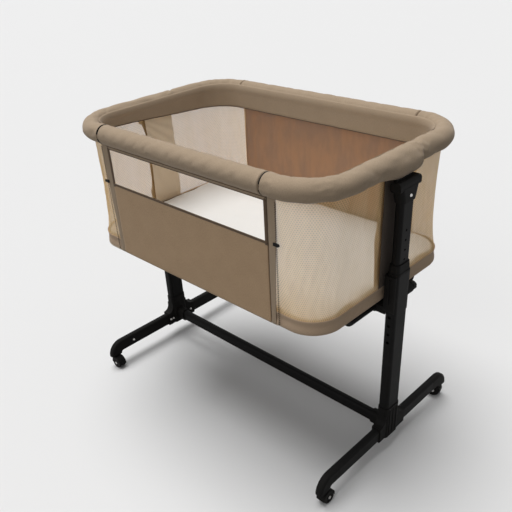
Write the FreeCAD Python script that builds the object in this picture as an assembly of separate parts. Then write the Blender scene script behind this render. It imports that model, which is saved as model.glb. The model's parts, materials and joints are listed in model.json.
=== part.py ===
import FreeCAD, Part
import math
import os
from FreeCAD import Vector

# Bedside sleeper crib. Lengths are in millimetres.
# +X runs along the cot, -Y is the bed side with the drop gate, +Z is up.
# The origin is on the floor, under the middle of the cot.
# Pieces are built for the right-hand end (+X) and mirrored for the left.

# ---------------------------------------------------------------- cot body
RAIL_LENGTH = 900.0            # over the padded top rail
RAIL_WIDTH = 594.0
RAIL_TOP_Z = 852.0             # highest of the height settings
PAD_DIAMETER = 53.0
RAIL_CORNER_RADIUS = 110.0     # on the rail's centreline
RAIL_TUBE_DIAMETER = 22.0
BASE_POST_GAP = 6.4            # fabric at the bottom of the cot to the posts' sliders
BASE_WIDTH = 540.0             # over that fabric
BASE_CORNER_RADIUS = 80.0
BASKET_DEPTH = 370.0           # rail top to basket bottom
FABRIC_THICKNESS = 1.5
SKIRT_HEIGHT = 38.0
SKIRT_FLANGE = 36.0            # how far the skirt turns in under the base ring
BASE_TUBE_DIAMETER = 14.0
FLOOR_BOARD_THICKNESS = 3.0
MATTRESS_THICKNESS = 22.0
MATTRESS_CLEARANCE = 4.0       # mattress edge to wall
WALL_SEAM_SETBACK = 3.5        # back seams of the walls and sleeves, before the rail's corners
END_STILE_WIDTH = 94.0
TUBE_WALL = 1.5
FLOOR_BOARD_CLEARANCE = 1.0
MATTRESS_EDGE = 4.4            # chamfer round the mattress
STILE_FOOT_GAP = 2.0           # end stile above the skirt

# --------------------------------------------------------------- drop gate
GATE_SETBACK = 27.5            # gate's ends before the rail's corners
GATE_PANEL_HEIGHT = 210.0      # top of the solid panel above the basket's bottom
GATE_FABRIC = 2.5
GATE_HEM_WIDTH = 9.0
GATE_TOP_HEM = 8.0
GATE_JOINT_GAP = 0.6
SOCKET_FLANGE_THICKNESS = 3.4
SOCKET_FLANGE_RADIUS = 25.5
TONGUE_HEIGHT = 8.0
TONGUE_LENGTH = 16.0
PLUG_DEPTH = 15.0
SOCKET_LEAD_IN = 4.0           # how much the socket's groove opens towards the front
SOCKET_BACK_WALL = 0.4         # what the groove leaves of the flange
GATE_HINGE_GAP = 2.0           # basket bottom to the gate's lower edge
FRONT_STILE_WIDTH = 25.0
ZIP_PULL_RISE = 2.0            # closed zip's pull above the panel's top edge
ZIP_PULL_LENGTH = 17.0
ZIP_PULL_HEIGHT = 7.0
ZIP_PULL_THICKNESS = 3.0
ZIP_PULL_ROUND = 3.3

# ------------------------------------------------------------------- posts
POST_INSET = 2.0               # posts' axes inside the rail's ends
LOWER_POST_SIZE = (30.0, 56.0)
LOWER_POST_CORNER = 9.0
LOWER_POST_WALL = 2.0
UPPER_POST_SIZE = (22.0, 48.0)
UPPER_POST_CORNER = 8.0
UPPER_POST_WALL = 1.8
UPPER_POST_LENGTH = 396.0
COLLAR_FLANGE_HEIGHT = 6.0
COLLAR_NECK_HEIGHT = 22.0
COLLAR_SPIGOT = 26.0
COLLAR_OVERHANG = 1.0
COLLAR_RIM_WALL = 2.5
HEIGHT_STEP = 25.0
HEIGHT_STEPS = 5
LOCK_RISE = 44.0               # plunger and top hole above the slider's foot
LOCK_TO_POST_TOP = 66.0
LOCK_HOLE_DIAMETER = 9.0
LEVEL_MARK_DIAMETER = 6.0
LEVEL_MARK_RISE = 38.0         # lowest mark above the lower post's top
LEVEL_MARKS = 4

# ------------------------------------------------------------ rail bracket
BRACKET_DROP = 36.0            # bracket's top below the rail's centreline
BRACKET_BAR_LENGTH = 82.0
BRACKET_BAR_HEIGHT = 22.0
BRACKET_BAR_WIDTH = 28.0
BRACKET_SOCKET_HEIGHT = 28.0
BRACKET_SOCKET_WALL = 3.5
BRACKET_ARM_WIDTH = 60.0
BRACKET_ARM_THICKNESS = 8.0
BRACKET_RING_WALL = 3.0
BRACKET_CAP = 26.0             # moulding above the upper post's end
BRACKET_ROUND = 7.0
BRACKET_THROAT_FLARE = 10.0
BRACKET_THROAT_RISE = 6.0
BRACKET_ARM_ROOT = 4.0
BRACKET_SCREW_DROP = 10.0      # screw below the upper post's end

# ------------------------------------------------- slider and its lock pin
SLIDER_FOOT_DROP = 10.0        # slider's foot below the support bar's axis
SLIDER_WALL = 3.2
SLIDER_HALF_WIDTH = 34.0
SLIDER_CORNER = 6.0
SLIDER_HEEL_RISE = 26.0        # its foot is cut up towards the bed side
SLIDER_HEEL_DEPTH = 22.0
SLIDER_RIB_WIDTH = 4.0         # upright rib on its bed side
SLIDER_RIB_DEPTH = 2.5
SLIDER_RIB_END = 8.0           # rib's ends inside the slider's side
SLIDER_REACH = 12.0            # slider's open side beyond the post's axis
SUPPORT_BAR_DIAMETER = 16.0
SUPPORT_BAR_INSET = 21.0       # from the end of the cot's base
SUPPORT_BAR_DROP = 26.0        # below the basket's bottom
SUPPORT_BAR_LENGTH = 280.0
SUPPORT_BAR_BEND = 18.0
CLAMP_RADIUS = 13.0
CLAMP_LENGTH = 60.0
CLAMP_SCREW_Y = 20.0
CLAMP_ARM_RISE = 10.0          # arm above the support bar's axis
BOSS_RADIUS = 13.0
BOSS_LENGTH = 20.0
PLUNGER_RADIUS = 4.0
PLUNGER_COLLAR_RADIUS = 6.5
PLUNGER_COLLAR_THICKNESS = 3.0
CAVITY_RADIUS = 7.0
CAVITY_END_WALL = 4.0
SPRING_WIRE = 1.2
SPRING_COILS = 5
SPRING_FLATS = 8               # facets round its wire
KNOB_RADIUS = 11.5
KNOB_LENGTH = 14.0
KNOB_NECK = 4.0
KNOB_GRIPS = 6
KNOB_GRIP_RADIUS = 3.0
KNOB_GRIP_OUTSET = 1.5         # grip's centre outside the knob's rim
KNOB_CHAMFER = 1.8

# ------------------------------------------------------------------- stand
HUB_TOP_Z = 150.0
HUB_FLARE_RADIUS = 32.0
HUB_WALL = 3.0
HUB_SOCKET_WALL = 2.0
HUB_ROUND = 5.0
HUB_SOCKET_FOOT = 2.0          # socket's start above the hub's bottom
HUB_REAR_Y = 64.0
HUB_FRONT_Y = 52.0
HUB_RIB_DEPTH = 1.6
HUB_RIB_WIDTH = 3.2
HUB_RIB_LOW = 8.0              # rib's foot above the hub's bottom
HUB_RIB_HIGH = 10.0            # rib's head below the hub's top
HUB_RIBS = 3
POST_SEAT_Z = 98.0
FOOT_TUBE_SIZE = (22.0, 42.0)
FOOT_TUBE_CORNER = 8.0
FOOT_TUBE_WALL = 1.8
FOOT_AXIS_Z = 70.0
FOOT_TUBE_START_Y = 18.0
FOOT_SEAM_Y = 225.0
FOOT_REACH_Y = 302.0
FOOT_BEND_RADIUS = 27.0
FOOT_PLUG_LENGTH = 30.0
STRETCHER_SIZE = (22.0, 36.0)
STRETCHER_CORNER = 9.0
STRETCHER_WALL = 1.8
STRETCHER_Z = 80.0
STRETCHER_BOSS_WALL = 4.0
STRETCHER_BOSS_LENGTH = 32.0
STRETCHER_SEAT_WALL = 4.0      # hub wall between the stretcher's end and the foot tubes

# ----------------------------------------------------------------- casters
WHEEL_RADIUS = 19.0
WHEEL_WIDTH = 9.0
WHEEL_CHAMFER = 1.5
WHEEL_RECESS_RADIUS = 12.0
WHEEL_RECESS_DEPTH = 2.0
WHEEL_BOSS_WALL = 1.5
WHEEL_BOSS_DROP = 0.5          # boss below the wheel's outer face
WHEEL_GAP = 0.5                # wheel to web
WEB_THICKNESS = 7.0
CASTER_TRAIL = 12.0
HOOD_GAP = 1.0
HOOD_WALL = 1.5
HOOD_SKIRT = 4.0               # how far the hood reaches below the axle
WEB_RADIUS = 9.0
STEM_RADIUS = 4.0
STEM_LENGTH = 28.0
STEM_BOSS_RADIUS = 9.0
AXLE_RADIUS = 3.0
AXLE_HEAD_RADIUS = 4.5
AXLE_HEAD_THICKNESS = 1.2
AXLE_HEAD_DROP = 0.3           # head's seat below the wheel's outer face
# Which way each caster trails, in degrees from +X.
CASTER_TRAILS = {
    "front_left": 0.0,
    "front_right": 90.0,
    "rear_left": -35.0,
    "rear_right": 195.0,
}

# --------------------------------------------------------------- fasteners
SCREW_HEAD_RADIUS = 4.0
SCREW_CROWN_RADIUS = 2.8
SCREW_HEAD_HEIGHT = 2.2
SCREW_RADIUS = 2.0
SCREW_LENGTH = 9.0
HUB_SCREW_Y = (-45.0, -34.0, 48.0)
FOOT_SCREW_Y = 209.0

# -------------------------------------------------------------- clearances
SEAT = 0.3                     # soft pieces and butted ends
SLIDE = 0.4                    # slider on the lower post
TELESCOPE = 0.3                # upper post in its collar
SOCKET = 0.15                  # tube in a moulded socket
RUNNING = 0.05                 # wheel on axle, stem in foot, plunger in boss
SCREW_FIT = 0.1
PAST = 1.0                     # how far a cut runs past the face it opens
BLEND = 2.0                    # how far a fused form reaches into its neighbour

# ------------------------------------------------------- worked-out values
PAD_RADIUS = PAD_DIAMETER / 2
RAIL_TUBE_RADIUS = RAIL_TUBE_DIAMETER / 2
RAIL_Z = RAIL_TOP_Z - PAD_RADIUS
RAIL_HALF_X = RAIL_LENGTH / 2 - PAD_RADIUS
RAIL_HALF_Y = RAIL_WIDTH / 2 - PAD_RADIUS
POST_X = RAIL_LENGTH / 2 - POST_INSET
SLIDER_INNER_X = POST_X - LOWER_POST_SIZE[0] / 2 - SLIDE - SLIDER_WALL
SLIDER_OUTER_X = POST_X + SLIDER_REACH
BASE_HALF_X = SLIDER_INNER_X - BASE_POST_GAP
BASE_HALF_Y = BASE_WIDTH / 2
BASKET_BOTTOM_Z = RAIL_TOP_Z - BASKET_DEPTH
SKIRT_TOP_Z = BASKET_BOTTOM_Z + SKIRT_HEIGHT
WALL_TOP_Z = RAIL_Z - PAD_RADIUS - SEAT
BASE_TUBE_RADIUS = BASE_TUBE_DIAMETER / 2
BASE_RING_Z = BASKET_BOTTOM_Z + FABRIC_THICKNESS + SEAT + BASE_TUBE_RADIUS
FLOOR_BOARD_Z = BASE_RING_Z + BASE_TUBE_RADIUS + SEAT / 2
MATTRESS_Z = FLOOR_BOARD_Z + FLOOR_BOARD_THICKNESS + SEAT
RAIL_STRAIGHT_X = RAIL_HALF_X - RAIL_CORNER_RADIUS
WALL_SEAM_X = RAIL_STRAIGHT_X - WALL_SEAM_SETBACK
GATE_HALF = RAIL_STRAIGHT_X - GATE_SETBACK
SOCKET_X = GATE_HALF + GATE_JOINT_GAP
FIXED_PAD_X = SOCKET_X + SOCKET_FLANGE_THICKNESS + SEAT
GATE_INNER_Y = -(max(BASE_HALF_Y, RAIL_HALF_Y) + SEAT)
GATE_BOTTOM_Z = BASKET_BOTTOM_Z + GATE_HINGE_GAP
GATE_PANEL_TOP_Z = BASKET_BOTTOM_Z + GATE_PANEL_HEIGHT
ZIP_PULL_Z = GATE_PANEL_TOP_Z + ZIP_PULL_RISE
FRONT_STILE_X = GATE_HALF + GATE_JOINT_GAP
BRACKET_TOP_Z = RAIL_Z - BRACKET_DROP
UPPER_POST_TOP_Z = BRACKET_TOP_Z - BRACKET_CAP
SUPPORT_BAR_X = BASE_HALF_X - SUPPORT_BAR_INSET
SUPPORT_BAR_Z = BASKET_BOTTOM_Z - SUPPORT_BAR_DROP
SLIDER_BOTTOM_Z = SUPPORT_BAR_Z - SLIDER_FOOT_DROP
LOCK_Z = SLIDER_BOTTOM_Z + LOCK_RISE
LOWER_POST_TOP_Z = LOCK_Z + LOCK_TO_POST_TOP
LEVEL_MARK_Z = LOWER_POST_TOP_Z + LEVEL_MARK_RISE
SLIDER_TOP_Z = LOWER_POST_TOP_Z - SEAT
LOCK_FACE_Y = LOWER_POST_SIZE[1] / 2 + SLIDE
BOSS_END_Y = SLIDER_HALF_WIDTH + BOSS_LENGTH
CAVITY_START_Y = LOCK_FACE_Y + SLIDER_WALL
CAVITY_END_Y = BOSS_END_Y - CAVITY_END_WALL
SPRING_START_Y = CAVITY_START_Y + SEAT + PLUNGER_COLLAR_THICKNESS + SEAT
WHEEL_INNER = WEB_THICKNESS / 2 + WHEEL_GAP
LEG_BOTTOM_Z = FOOT_AXIS_Z - FOOT_BEND_RADIUS
STEM_Y = FOOT_REACH_Y - FOOT_TUBE_SIZE[1] / 2
HUB_BAR_HALF_X = FOOT_TUBE_SIZE[0] / 2 + HUB_WALL
HUB_BAR_HALF_Z = FOOT_TUBE_SIZE[1] / 2 + HUB_WALL
HUB_SOCKET_HALF_X = LOWER_POST_SIZE[0] / 2 + HUB_SOCKET_WALL
HUB_SOCKET_HALF_Y = LOWER_POST_SIZE[1] / 2 + HUB_SOCKET_WALL
STRETCHER_END_X = POST_X - HUB_BAR_HALF_X + HUB_WALL - STRETCHER_SEAT_WALL

X_AXIS = Vector(1, 0, 0)
Y_AXIS = Vector(0, 1, 0)
Z_AXIS = Vector(0, 0, 1)


# ------------------------------------------------------------ basic shapes
def mirrored(shape):
    """The same piece for the left-hand end."""
    return shape.mirror(Vector(), X_AXIS)


def rounded_rect(half_a, half_b, radius, z=0.0):
    """Closed wire of a rounded rectangle, level at height z."""
    k = radius * (1 - math.sqrt(0.5))
    edges = []
    corners = [(1, -1), (1, 1), (-1, 1), (-1, -1)]
    points = []
    for sx, sy in corners:
        along_x = Vector(sx * (half_a - radius), sy * half_b, z)
        along_y = Vector(sx * half_a, sy * (half_b - radius), z)
        middle = Vector(sx * (half_a - k), sy * (half_b - k), z)
        first, last = (along_x, along_y) if sx * sy < 0 else (along_y, along_x)
        points.append((first, middle, last))
    for number, (first, middle, last) in enumerate(points):
        edges.append(Part.Arc(first, middle, last).toShape())
        following = points[(number + 1) % len(points)][0]
        if last.distanceToPoint(following) > 1e-6:
            edges.append(Part.LineSegment(last, following).toShape())
    return Part.Wire(edges)


def prism(half_a, half_b, radius, z0, z1, x=0.0, y=0.0):
    """Upright bar of rounded rectangular section."""
    face = Part.Face(rounded_rect(half_a, half_b, radius, z0))
    solid = face.extrude(Vector(0, 0, z1 - z0))
    solid.translate(Vector(x, y, 0))
    return solid


def box(x0, x1, y0, y1, z0, z1):
    """Plain box between two corners."""
    return Part.makeBox(x1 - x0, y1 - y0, z1 - z0, Vector(x0, y0, z0))


def rod(radius, start, end):
    """Round bar between two points."""
    axis = end - start
    return Part.makeCylinder(radius, axis.Length, start, axis)


def section_face(size, corner, centre, along, grow=0.0):
    """Rounded rectangular face at a point, facing along +X or +Y.

    Its first size is level and its second one upright.
    """
    face = Part.Face(rounded_rect(size[0] / 2 + grow, size[1] / 2 + grow, corner + grow))
    face.rotate(Vector(), X_AXIS, 90)
    if along == X_AXIS:
        face.rotate(Vector(), Z_AXIS, 90)
    face.translate(centre)
    return face


def level_bar(size, corner, start, end, grow=0.0):
    """Bar of rounded rectangular section along +X or +Y."""
    axis = end - start
    along = X_AXIS if abs(axis.x) > abs(axis.y) else Y_AXIS
    return section_face(size, corner, start, along, grow).extrude(axis)


def level_tube(size, corner, wall, start, end):
    """Hollow version of level_bar."""
    return level_bar(size, corner, start, end).cut(level_bar(size, corner, start, end, -wall))


def run_edges(half_a, half_b, radius, x_front, x_back, z):
    """Edges round the right-hand end, from the front at x_front to the back at x_back."""
    k = radius * (1 - math.sqrt(0.5))
    stops = [
        Vector(x_front, -half_b, z),
        Vector(half_a - radius, -half_b, z),
        Vector(half_a - k, -half_b + k, z),
        Vector(half_a, -half_b + radius, z),
        Vector(half_a, half_b - radius, z),
        Vector(half_a - k, half_b - k, z),
        Vector(half_a - radius, half_b, z),
        Vector(x_back, half_b, z),
    ]
    return [
        Part.LineSegment(stops[0], stops[1]).toShape(),
        Part.Arc(stops[1], stops[2], stops[3]).toShape(),
        Part.LineSegment(stops[3], stops[4]).toShape(),
        Part.Arc(stops[4], stops[5], stops[6]).toShape(),
        Part.LineSegment(stops[6], stops[7]).toShape(),
    ]


def ring_face(centre, axis, outer, inner):
    """Flat ring, or a disc where inner is zero."""
    wires = [Part.Wire(Part.makeCircle(outer, centre, axis))]
    if inner:
        hole = Part.Wire(Part.makeCircle(inner, centre, axis))
        hole.reverse()
        wires.append(hole)
    return Part.Face(wires)


def piped(edges, outer, inner):
    """Round tube along edges that meet tangentially."""
    start = edges[0].valueAt(edges[0].FirstParameter)
    tangent = edges[0].tangentAt(edges[0].FirstParameter)
    path = Part.Wire(edges)
    solid = path.makePipe(ring_face(start, tangent, outer, 0))
    if inner:
        solid = solid.cut(path.makePipe(ring_face(start, tangent, inner, 0)))
    return solid


def strip_outline(half_a, half_b, radius, x_front, x_back, z):
    """Outline of a sheet of fabric that stands round the right-hand end."""
    outer = run_edges(half_a, half_b, radius, x_front, x_back, z)
    thickness = FABRIC_THICKNESS
    inner = run_edges(half_a - thickness, half_b - thickness, radius - thickness, x_front, x_back, z)
    front = Part.LineSegment(Vector(x_front, -half_b + thickness, z), Vector(x_front, -half_b, z)).toShape()
    back = Part.LineSegment(Vector(x_back, half_b, z), Vector(x_back, half_b - thickness, z)).toShape()
    return Part.Wire(outer + [back] + inner[::-1] + [front])


def screw(head_seat, direction):
    """Pan-head screw: its head stands on head_seat and its shank goes along direction."""
    head = Part.makeCone(SCREW_HEAD_RADIUS, SCREW_CROWN_RADIUS, SCREW_HEAD_HEIGHT, head_seat, -direction)
    return head.fuse(rod(SCREW_RADIUS, head_seat, head_seat + direction * SCREW_LENGTH)).removeSplitter()


def screw_hole(head_seat, direction):
    """Clearance for a screw's shank."""
    radius = SCREW_RADIUS + SCREW_FIT
    end = head_seat + direction * (SCREW_LENGTH + PAST)
    return rod(radius, head_seat - direction * SCREW_HEAD_HEIGHT, end)


# ------------------------------------------------------------ screw places
def hub_screw_places():
    """Inner face of the right hub, where the foot tubes are held."""
    return [Vector(POST_X - HUB_BAR_HALF_X, y, FOOT_AXIS_Z) for y in HUB_SCREW_Y]


def foot_screw_places():
    """Inner face of the right foot tubes, where the moulded ends are held."""
    x = POST_X - FOOT_TUBE_SIZE[0] / 2
    return [Vector(x, y, FOOT_AXIS_Z) for y in (-FOOT_SCREW_Y, FOOT_SCREW_Y)]


def bracket_screw_place():
    """Outer face of the right rail bracket's socket."""
    x = POST_X + UPPER_POST_SIZE[0] / 2 + SOCKET + BRACKET_SOCKET_WALL
    return Vector(x, 0, UPPER_POST_TOP_Z - BRACKET_SCREW_DROP)


def clamp_screw_places():
    """Underside of the right slider's clamp."""
    z = SUPPORT_BAR_Z - CLAMP_RADIUS
    return [Vector(SUPPORT_BAR_X, y, z) for y in (-CLAMP_SCREW_Y, CLAMP_SCREW_Y)]


# ------------------------------------------------------------------- stand
def foot_bar(start_y, end_y, grow=0.0):
    """Foot tube's outer form between two places along Y."""
    start = Vector(POST_X, start_y, FOOT_AXIS_Z)
    end = Vector(POST_X, end_y, FOOT_AXIS_Z)
    return level_bar(FOOT_TUBE_SIZE, FOOT_TUBE_CORNER, start, end, grow)


def hub():
    """Moulded T hub: post socket, flared foot bar and stretcher boss."""
    low = FOOT_AXIS_Z - HUB_BAR_HALF_Z
    high = FOOT_AXIS_Z + HUB_BAR_HALF_Z
    half_y = HUB_SOCKET_HALF_Y
    flare = HUB_FLARE_RADIUS
    front_flare = HUB_FRONT_Y - half_y
    k = flare * (1 - math.sqrt(0.5))
    front_k = front_flare * (1 - math.sqrt(0.5))

    def at(y, z):
        return Vector(POST_X - HUB_BAR_HALF_X, y, z)

    outline = [
        Part.LineSegment(at(-HUB_FRONT_Y, low), at(HUB_REAR_Y, low)).toShape(),
        Part.LineSegment(at(HUB_REAR_Y, low), at(HUB_REAR_Y, high)).toShape(),
        Part.LineSegment(at(HUB_REAR_Y, high), at(half_y + flare, high)).toShape(),
        Part.Arc(at(half_y + flare, high), at(half_y + k, high + k), at(half_y, high + flare)).toShape(),
        Part.LineSegment(at(half_y, high + flare), at(-half_y, high + flare)).toShape(),
        Part.LineSegment(at(-half_y, high + flare), at(-half_y, high + front_flare)).toShape(),
        Part.Arc(at(-half_y, high + front_flare), at(-half_y - front_k, high + front_k),
                 at(-HUB_FRONT_Y, high)).toShape(),
        Part.LineSegment(at(-HUB_FRONT_Y, high), at(-HUB_FRONT_Y, low)).toShape(),
    ]
    flared = Part.Face(Part.Wire(outline)).extrude(Vector(2 * HUB_BAR_HALF_X, 0, 0))
    low_edges = [edge for edge in flared.Edges
                 if edge.BoundBox.ZMax < low + BLEND and edge.BoundBox.YLength > half_y]
    flared = flared.makeFillet(HUB_ROUND, low_edges)
    socket = prism(HUB_SOCKET_HALF_X, half_y, LOWER_POST_CORNER + HUB_SOCKET_WALL,
                   low + HUB_SOCKET_FOOT, HUB_TOP_Z, POST_X)
    body = flared.fuse(socket)

    pitch = 2 * half_y / (HUB_RIBS + 1)
    for number in range(HUB_RIBS):
        y = -half_y + pitch * (number + 1)
        outer = POST_X + HUB_SOCKET_HALF_X
        rib = box(outer - HUB_SOCKET_WALL, outer + HUB_RIB_DEPTH,
                  y - HUB_RIB_WIDTH / 2, y + HUB_RIB_WIDTH / 2,
                  low + HUB_RIB_LOW, HUB_TOP_Z - HUB_RIB_HIGH)
        body = body.fuse(rib)

    boss_size = (STRETCHER_SIZE[0] + 2 * STRETCHER_BOSS_WALL, STRETCHER_SIZE[1] + 2 * STRETCHER_BOSS_WALL)
    boss_start = Vector(POST_X - HUB_BAR_HALF_X - STRETCHER_BOSS_LENGTH, 0, STRETCHER_Z)
    boss_end = Vector(POST_X - HUB_BAR_HALF_X + BLEND, 0, STRETCHER_Z)
    body = body.fuse(level_bar(boss_size, STRETCHER_CORNER + STRETCHER_BOSS_WALL, boss_start, boss_end))

    bores = [
        prism(LOWER_POST_SIZE[0] / 2 + SOCKET, LOWER_POST_SIZE[1] / 2 + SOCKET, LOWER_POST_CORNER + SOCKET,
              POST_SEAT_Z, HUB_TOP_Z + PAST, POST_X),
        foot_bar(-HUB_FRONT_Y - PAST, -FOOT_TUBE_START_Y + SEAT, SOCKET),
        foot_bar(FOOT_TUBE_START_Y - SEAT, HUB_REAR_Y + PAST, SOCKET),
        level_bar(STRETCHER_SIZE, STRETCHER_CORNER, Vector(boss_start.x - PAST, 0, STRETCHER_Z),
                  Vector(STRETCHER_END_X + SEAT, 0, STRETCHER_Z), SOCKET),
    ]
    bores += [screw_hole(place, X_AXIS) for place in hub_screw_places()]
    for bore in bores:
        body = body.cut(bore)
    return body.removeSplitter()


def lower_post():
    """Outer telescoping tube with its row of lock holes, drilled through front and back."""
    half_x, half_y = LOWER_POST_SIZE[0] / 2, LOWER_POST_SIZE[1] / 2
    wall = LOWER_POST_WALL
    bottom = POST_SEAT_Z + SEAT / 2
    tube = prism(half_x, half_y, LOWER_POST_CORNER, bottom, LOWER_POST_TOP_Z, POST_X)
    tube = tube.cut(prism(half_x - wall, half_y - wall, LOWER_POST_CORNER - wall,
                          bottom - PAST, LOWER_POST_TOP_Z + PAST, POST_X))
    for step in range(HEIGHT_STEPS + 1):
        z = LOCK_Z - step * HEIGHT_STEP
        centre, reach = Vector(POST_X, 0, z), Vector(0, half_y + PAST, 0)
        tube = tube.cut(rod(LOCK_HOLE_DIAMETER / 2, centre - reach, centre + reach))
    return tube


def post_collar():
    """Moulded bush in the top of the lower post, which guides the upper one."""
    inner_half = [size / 2 - LOWER_POST_WALL - SOCKET for size in LOWER_POST_SIZE]
    inner_corner = LOWER_POST_CORNER - LOWER_POST_WALL - SOCKET
    top = LOWER_POST_TOP_Z
    flange_top = top + COLLAR_FLANGE_HEIGHT
    neck_top = flange_top + COLLAR_NECK_HEIGHT
    flange = prism(LOWER_POST_SIZE[0] / 2 + COLLAR_OVERHANG, LOWER_POST_SIZE[1] / 2 + COLLAR_OVERHANG,
                   LOWER_POST_CORNER + COLLAR_OVERHANG, top, flange_top, POST_X)
    neck_base = rounded_rect(LOWER_POST_SIZE[0] / 2, LOWER_POST_SIZE[1] / 2, LOWER_POST_CORNER, flange_top)
    rim_half = [size / 2 + COLLAR_RIM_WALL for size in UPPER_POST_SIZE]
    neck_rim = rounded_rect(rim_half[0], rim_half[1], LOWER_POST_CORNER, neck_top)
    neck = Part.makeLoft([neck_base, neck_rim], True, True)
    neck.translate(Vector(POST_X, 0, 0))
    spigot = prism(inner_half[0], inner_half[1], inner_corner, top - COLLAR_SPIGOT, top, POST_X)
    bore = prism(UPPER_POST_SIZE[0] / 2 + TELESCOPE, UPPER_POST_SIZE[1] / 2 + TELESCOPE,
                 UPPER_POST_CORNER + TELESCOPE, top - COLLAR_SPIGOT - PAST, neck_top + PAST, POST_X)
    return flange.fuse([neck, spigot]).cut(bore).removeSplitter()


def foot_tube(start_y, end_y):
    """Straight foot tube from the hub to the moulded end."""
    tube = foot_bar(start_y, end_y).cut(foot_bar(start_y, end_y, -FOOT_TUBE_WALL))
    for place in hub_screw_places() + foot_screw_places():
        if min(start_y, end_y) < place.y < max(start_y, end_y):
            tube = tube.cut(screw_hole(place, X_AXIS))
    return tube


def foot_end(toward):
    """Moulded end of a foot: a plug in the tube and a nose that bends down to the caster."""
    bend_y = STEM_Y - FOOT_BEND_RADIUS
    k = FOOT_BEND_RADIUS * (1 - math.sqrt(0.5))

    def at(y, z):
        return Vector(POST_X, toward * y, z)

    seam = at(FOOT_SEAM_Y + SEAT, FOOT_AXIS_Z)
    path = Part.Wire([
        Part.LineSegment(seam, at(bend_y, FOOT_AXIS_Z)).toShape(),
        Part.Arc(at(bend_y, FOOT_AXIS_Z), at(STEM_Y - k, FOOT_AXIS_Z - k),
                 at(STEM_Y, LEG_BOTTOM_Z)).toShape(),
    ])
    nose = path.makePipe(section_face(FOOT_TUBE_SIZE, FOOT_TUBE_CORNER, seam, Y_AXIS))
    plug = foot_bar(toward * (FOOT_SEAM_Y - FOOT_PLUG_LENGTH), toward * (FOOT_SEAM_Y + BLEND),
                    -FOOT_TUBE_WALL - SOCKET)
    body = nose.fuse(plug)
    stem_hole = rod(STEM_RADIUS + RUNNING, at(STEM_Y, LEG_BOTTOM_Z - PAST),
                    at(STEM_Y, LEG_BOTTOM_Z + STEM_LENGTH + PAST))
    body = body.cut(stem_hole)
    for place in foot_screw_places():
        if place.y * toward > 0:
            body = body.cut(screw_hole(place, X_AXIS))
    return body


def stretcher():
    """Low tube that joins the two hubs."""
    start = Vector(-STRETCHER_END_X, 0, STRETCHER_Z)
    end = Vector(STRETCHER_END_X, 0, STRETCHER_Z)
    return level_tube(STRETCHER_SIZE, STRETCHER_CORNER, STRETCHER_WALL, start, end)


# ----------------------------------------------------------------- casters
def caster_housing():
    """Hood, web and stem. Its stem is on the Z axis and its axle lies along Y, trailing towards +X."""
    axle = Vector(CASTER_TRAIL, 0, WHEEL_RADIUS)
    clear_radius = WHEEL_RADIUS + HOOD_GAP
    hood_radius = clear_radius + HOOD_WALL
    half_width = WHEEL_INNER + WHEEL_WIDTH
    beyond = 2 * hood_radius
    along = Vector(0, half_width, 0)
    hood = rod(hood_radius, axle - along, axle + along)
    lower = axle.z - HOOD_SKIRT
    hood = hood.common(box(-beyond, beyond, -beyond, beyond, lower, beyond))
    hood = hood.fuse(rod(STEM_BOSS_RADIUS, Vector(0, 0, lower), Vector(0, 0, axle.z + hood_radius)))
    for side in (-1, 1):
        inner = axle + Vector(0, side * WEB_THICKNESS / 2, 0)
        hood = hood.cut(rod(clear_radius, inner, inner + Vector(0, side * beyond, 0)))
    web_half = Vector(0, WEB_THICKNESS / 2, 0)
    hood = hood.fuse(rod(WEB_RADIUS, axle - web_half, axle + web_half))
    stem_top = LEG_BOTTOM_Z + STEM_LENGTH
    hood = hood.fuse(rod(STEM_RADIUS, Vector(0, 0, axle.z + hood_radius - BLEND), Vector(0, 0, stem_top)))
    hood = hood.cut(rod(AXLE_RADIUS, axle - along, axle + along))
    return hood.removeSplitter()


def caster_wheels():
    """Pair of wheels, one each side of the web."""
    wheels = []
    for side in (-1, 1):
        inner = Vector(CASTER_TRAIL, side * WHEEL_INNER, WHEEL_RADIUS)
        past = Vector(0, side * PAST, 0)
        outer = inner + Vector(0, side * WHEEL_WIDTH, 0)
        wheel = rod(WHEEL_RADIUS, inner, outer)
        wheel = wheel.makeChamfer(WHEEL_CHAMFER, [edge for edge in wheel.Edges
                                                 if edge.Curve.TypeId == "Part::GeomCircle"])
        recess_start = outer - Vector(0, side * WHEEL_RECESS_DEPTH, 0)
        wheel = wheel.cut(rod(WHEEL_RECESS_RADIUS, recess_start, outer + past))
        boss_end = outer - Vector(0, side * WHEEL_BOSS_DROP, 0)
        wheel = wheel.fuse(rod(AXLE_HEAD_RADIUS + WHEEL_BOSS_WALL, recess_start, boss_end))
        wheel = wheel.cut(rod(AXLE_RADIUS + RUNNING, inner - past, outer + past))
        wheels.append(wheel)
    return Part.makeCompound(wheels)


def caster_axle():
    """Steel pin with a head at each end."""
    centre = Vector(CASTER_TRAIL, 0, WHEEL_RADIUS)
    half = Vector(0, WHEEL_INNER + WHEEL_WIDTH, 0)
    axle = rod(AXLE_RADIUS, centre - half, centre + half)
    for side in (-1, 1):
        seat = centre + half * side - Vector(0, side * AXLE_HEAD_DROP, 0)
        axle = axle.fuse(rod(AXLE_HEAD_RADIUS, seat, seat + Vector(0, side * AXLE_HEAD_THICKNESS, 0)))
    return axle.removeSplitter()


def placed_caster(piece, corner):
    """Turn a caster's piece to its rest angle and put it under its corner."""
    end, side = corner.split("_")
    piece = piece.copy()
    piece.rotate(Vector(), Z_AXIS, CASTER_TRAILS[corner])
    piece.translate(Vector(POST_X if side == "right" else -POST_X, STEM_Y if end == "rear" else -STEM_Y, 0))
    return piece


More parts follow.
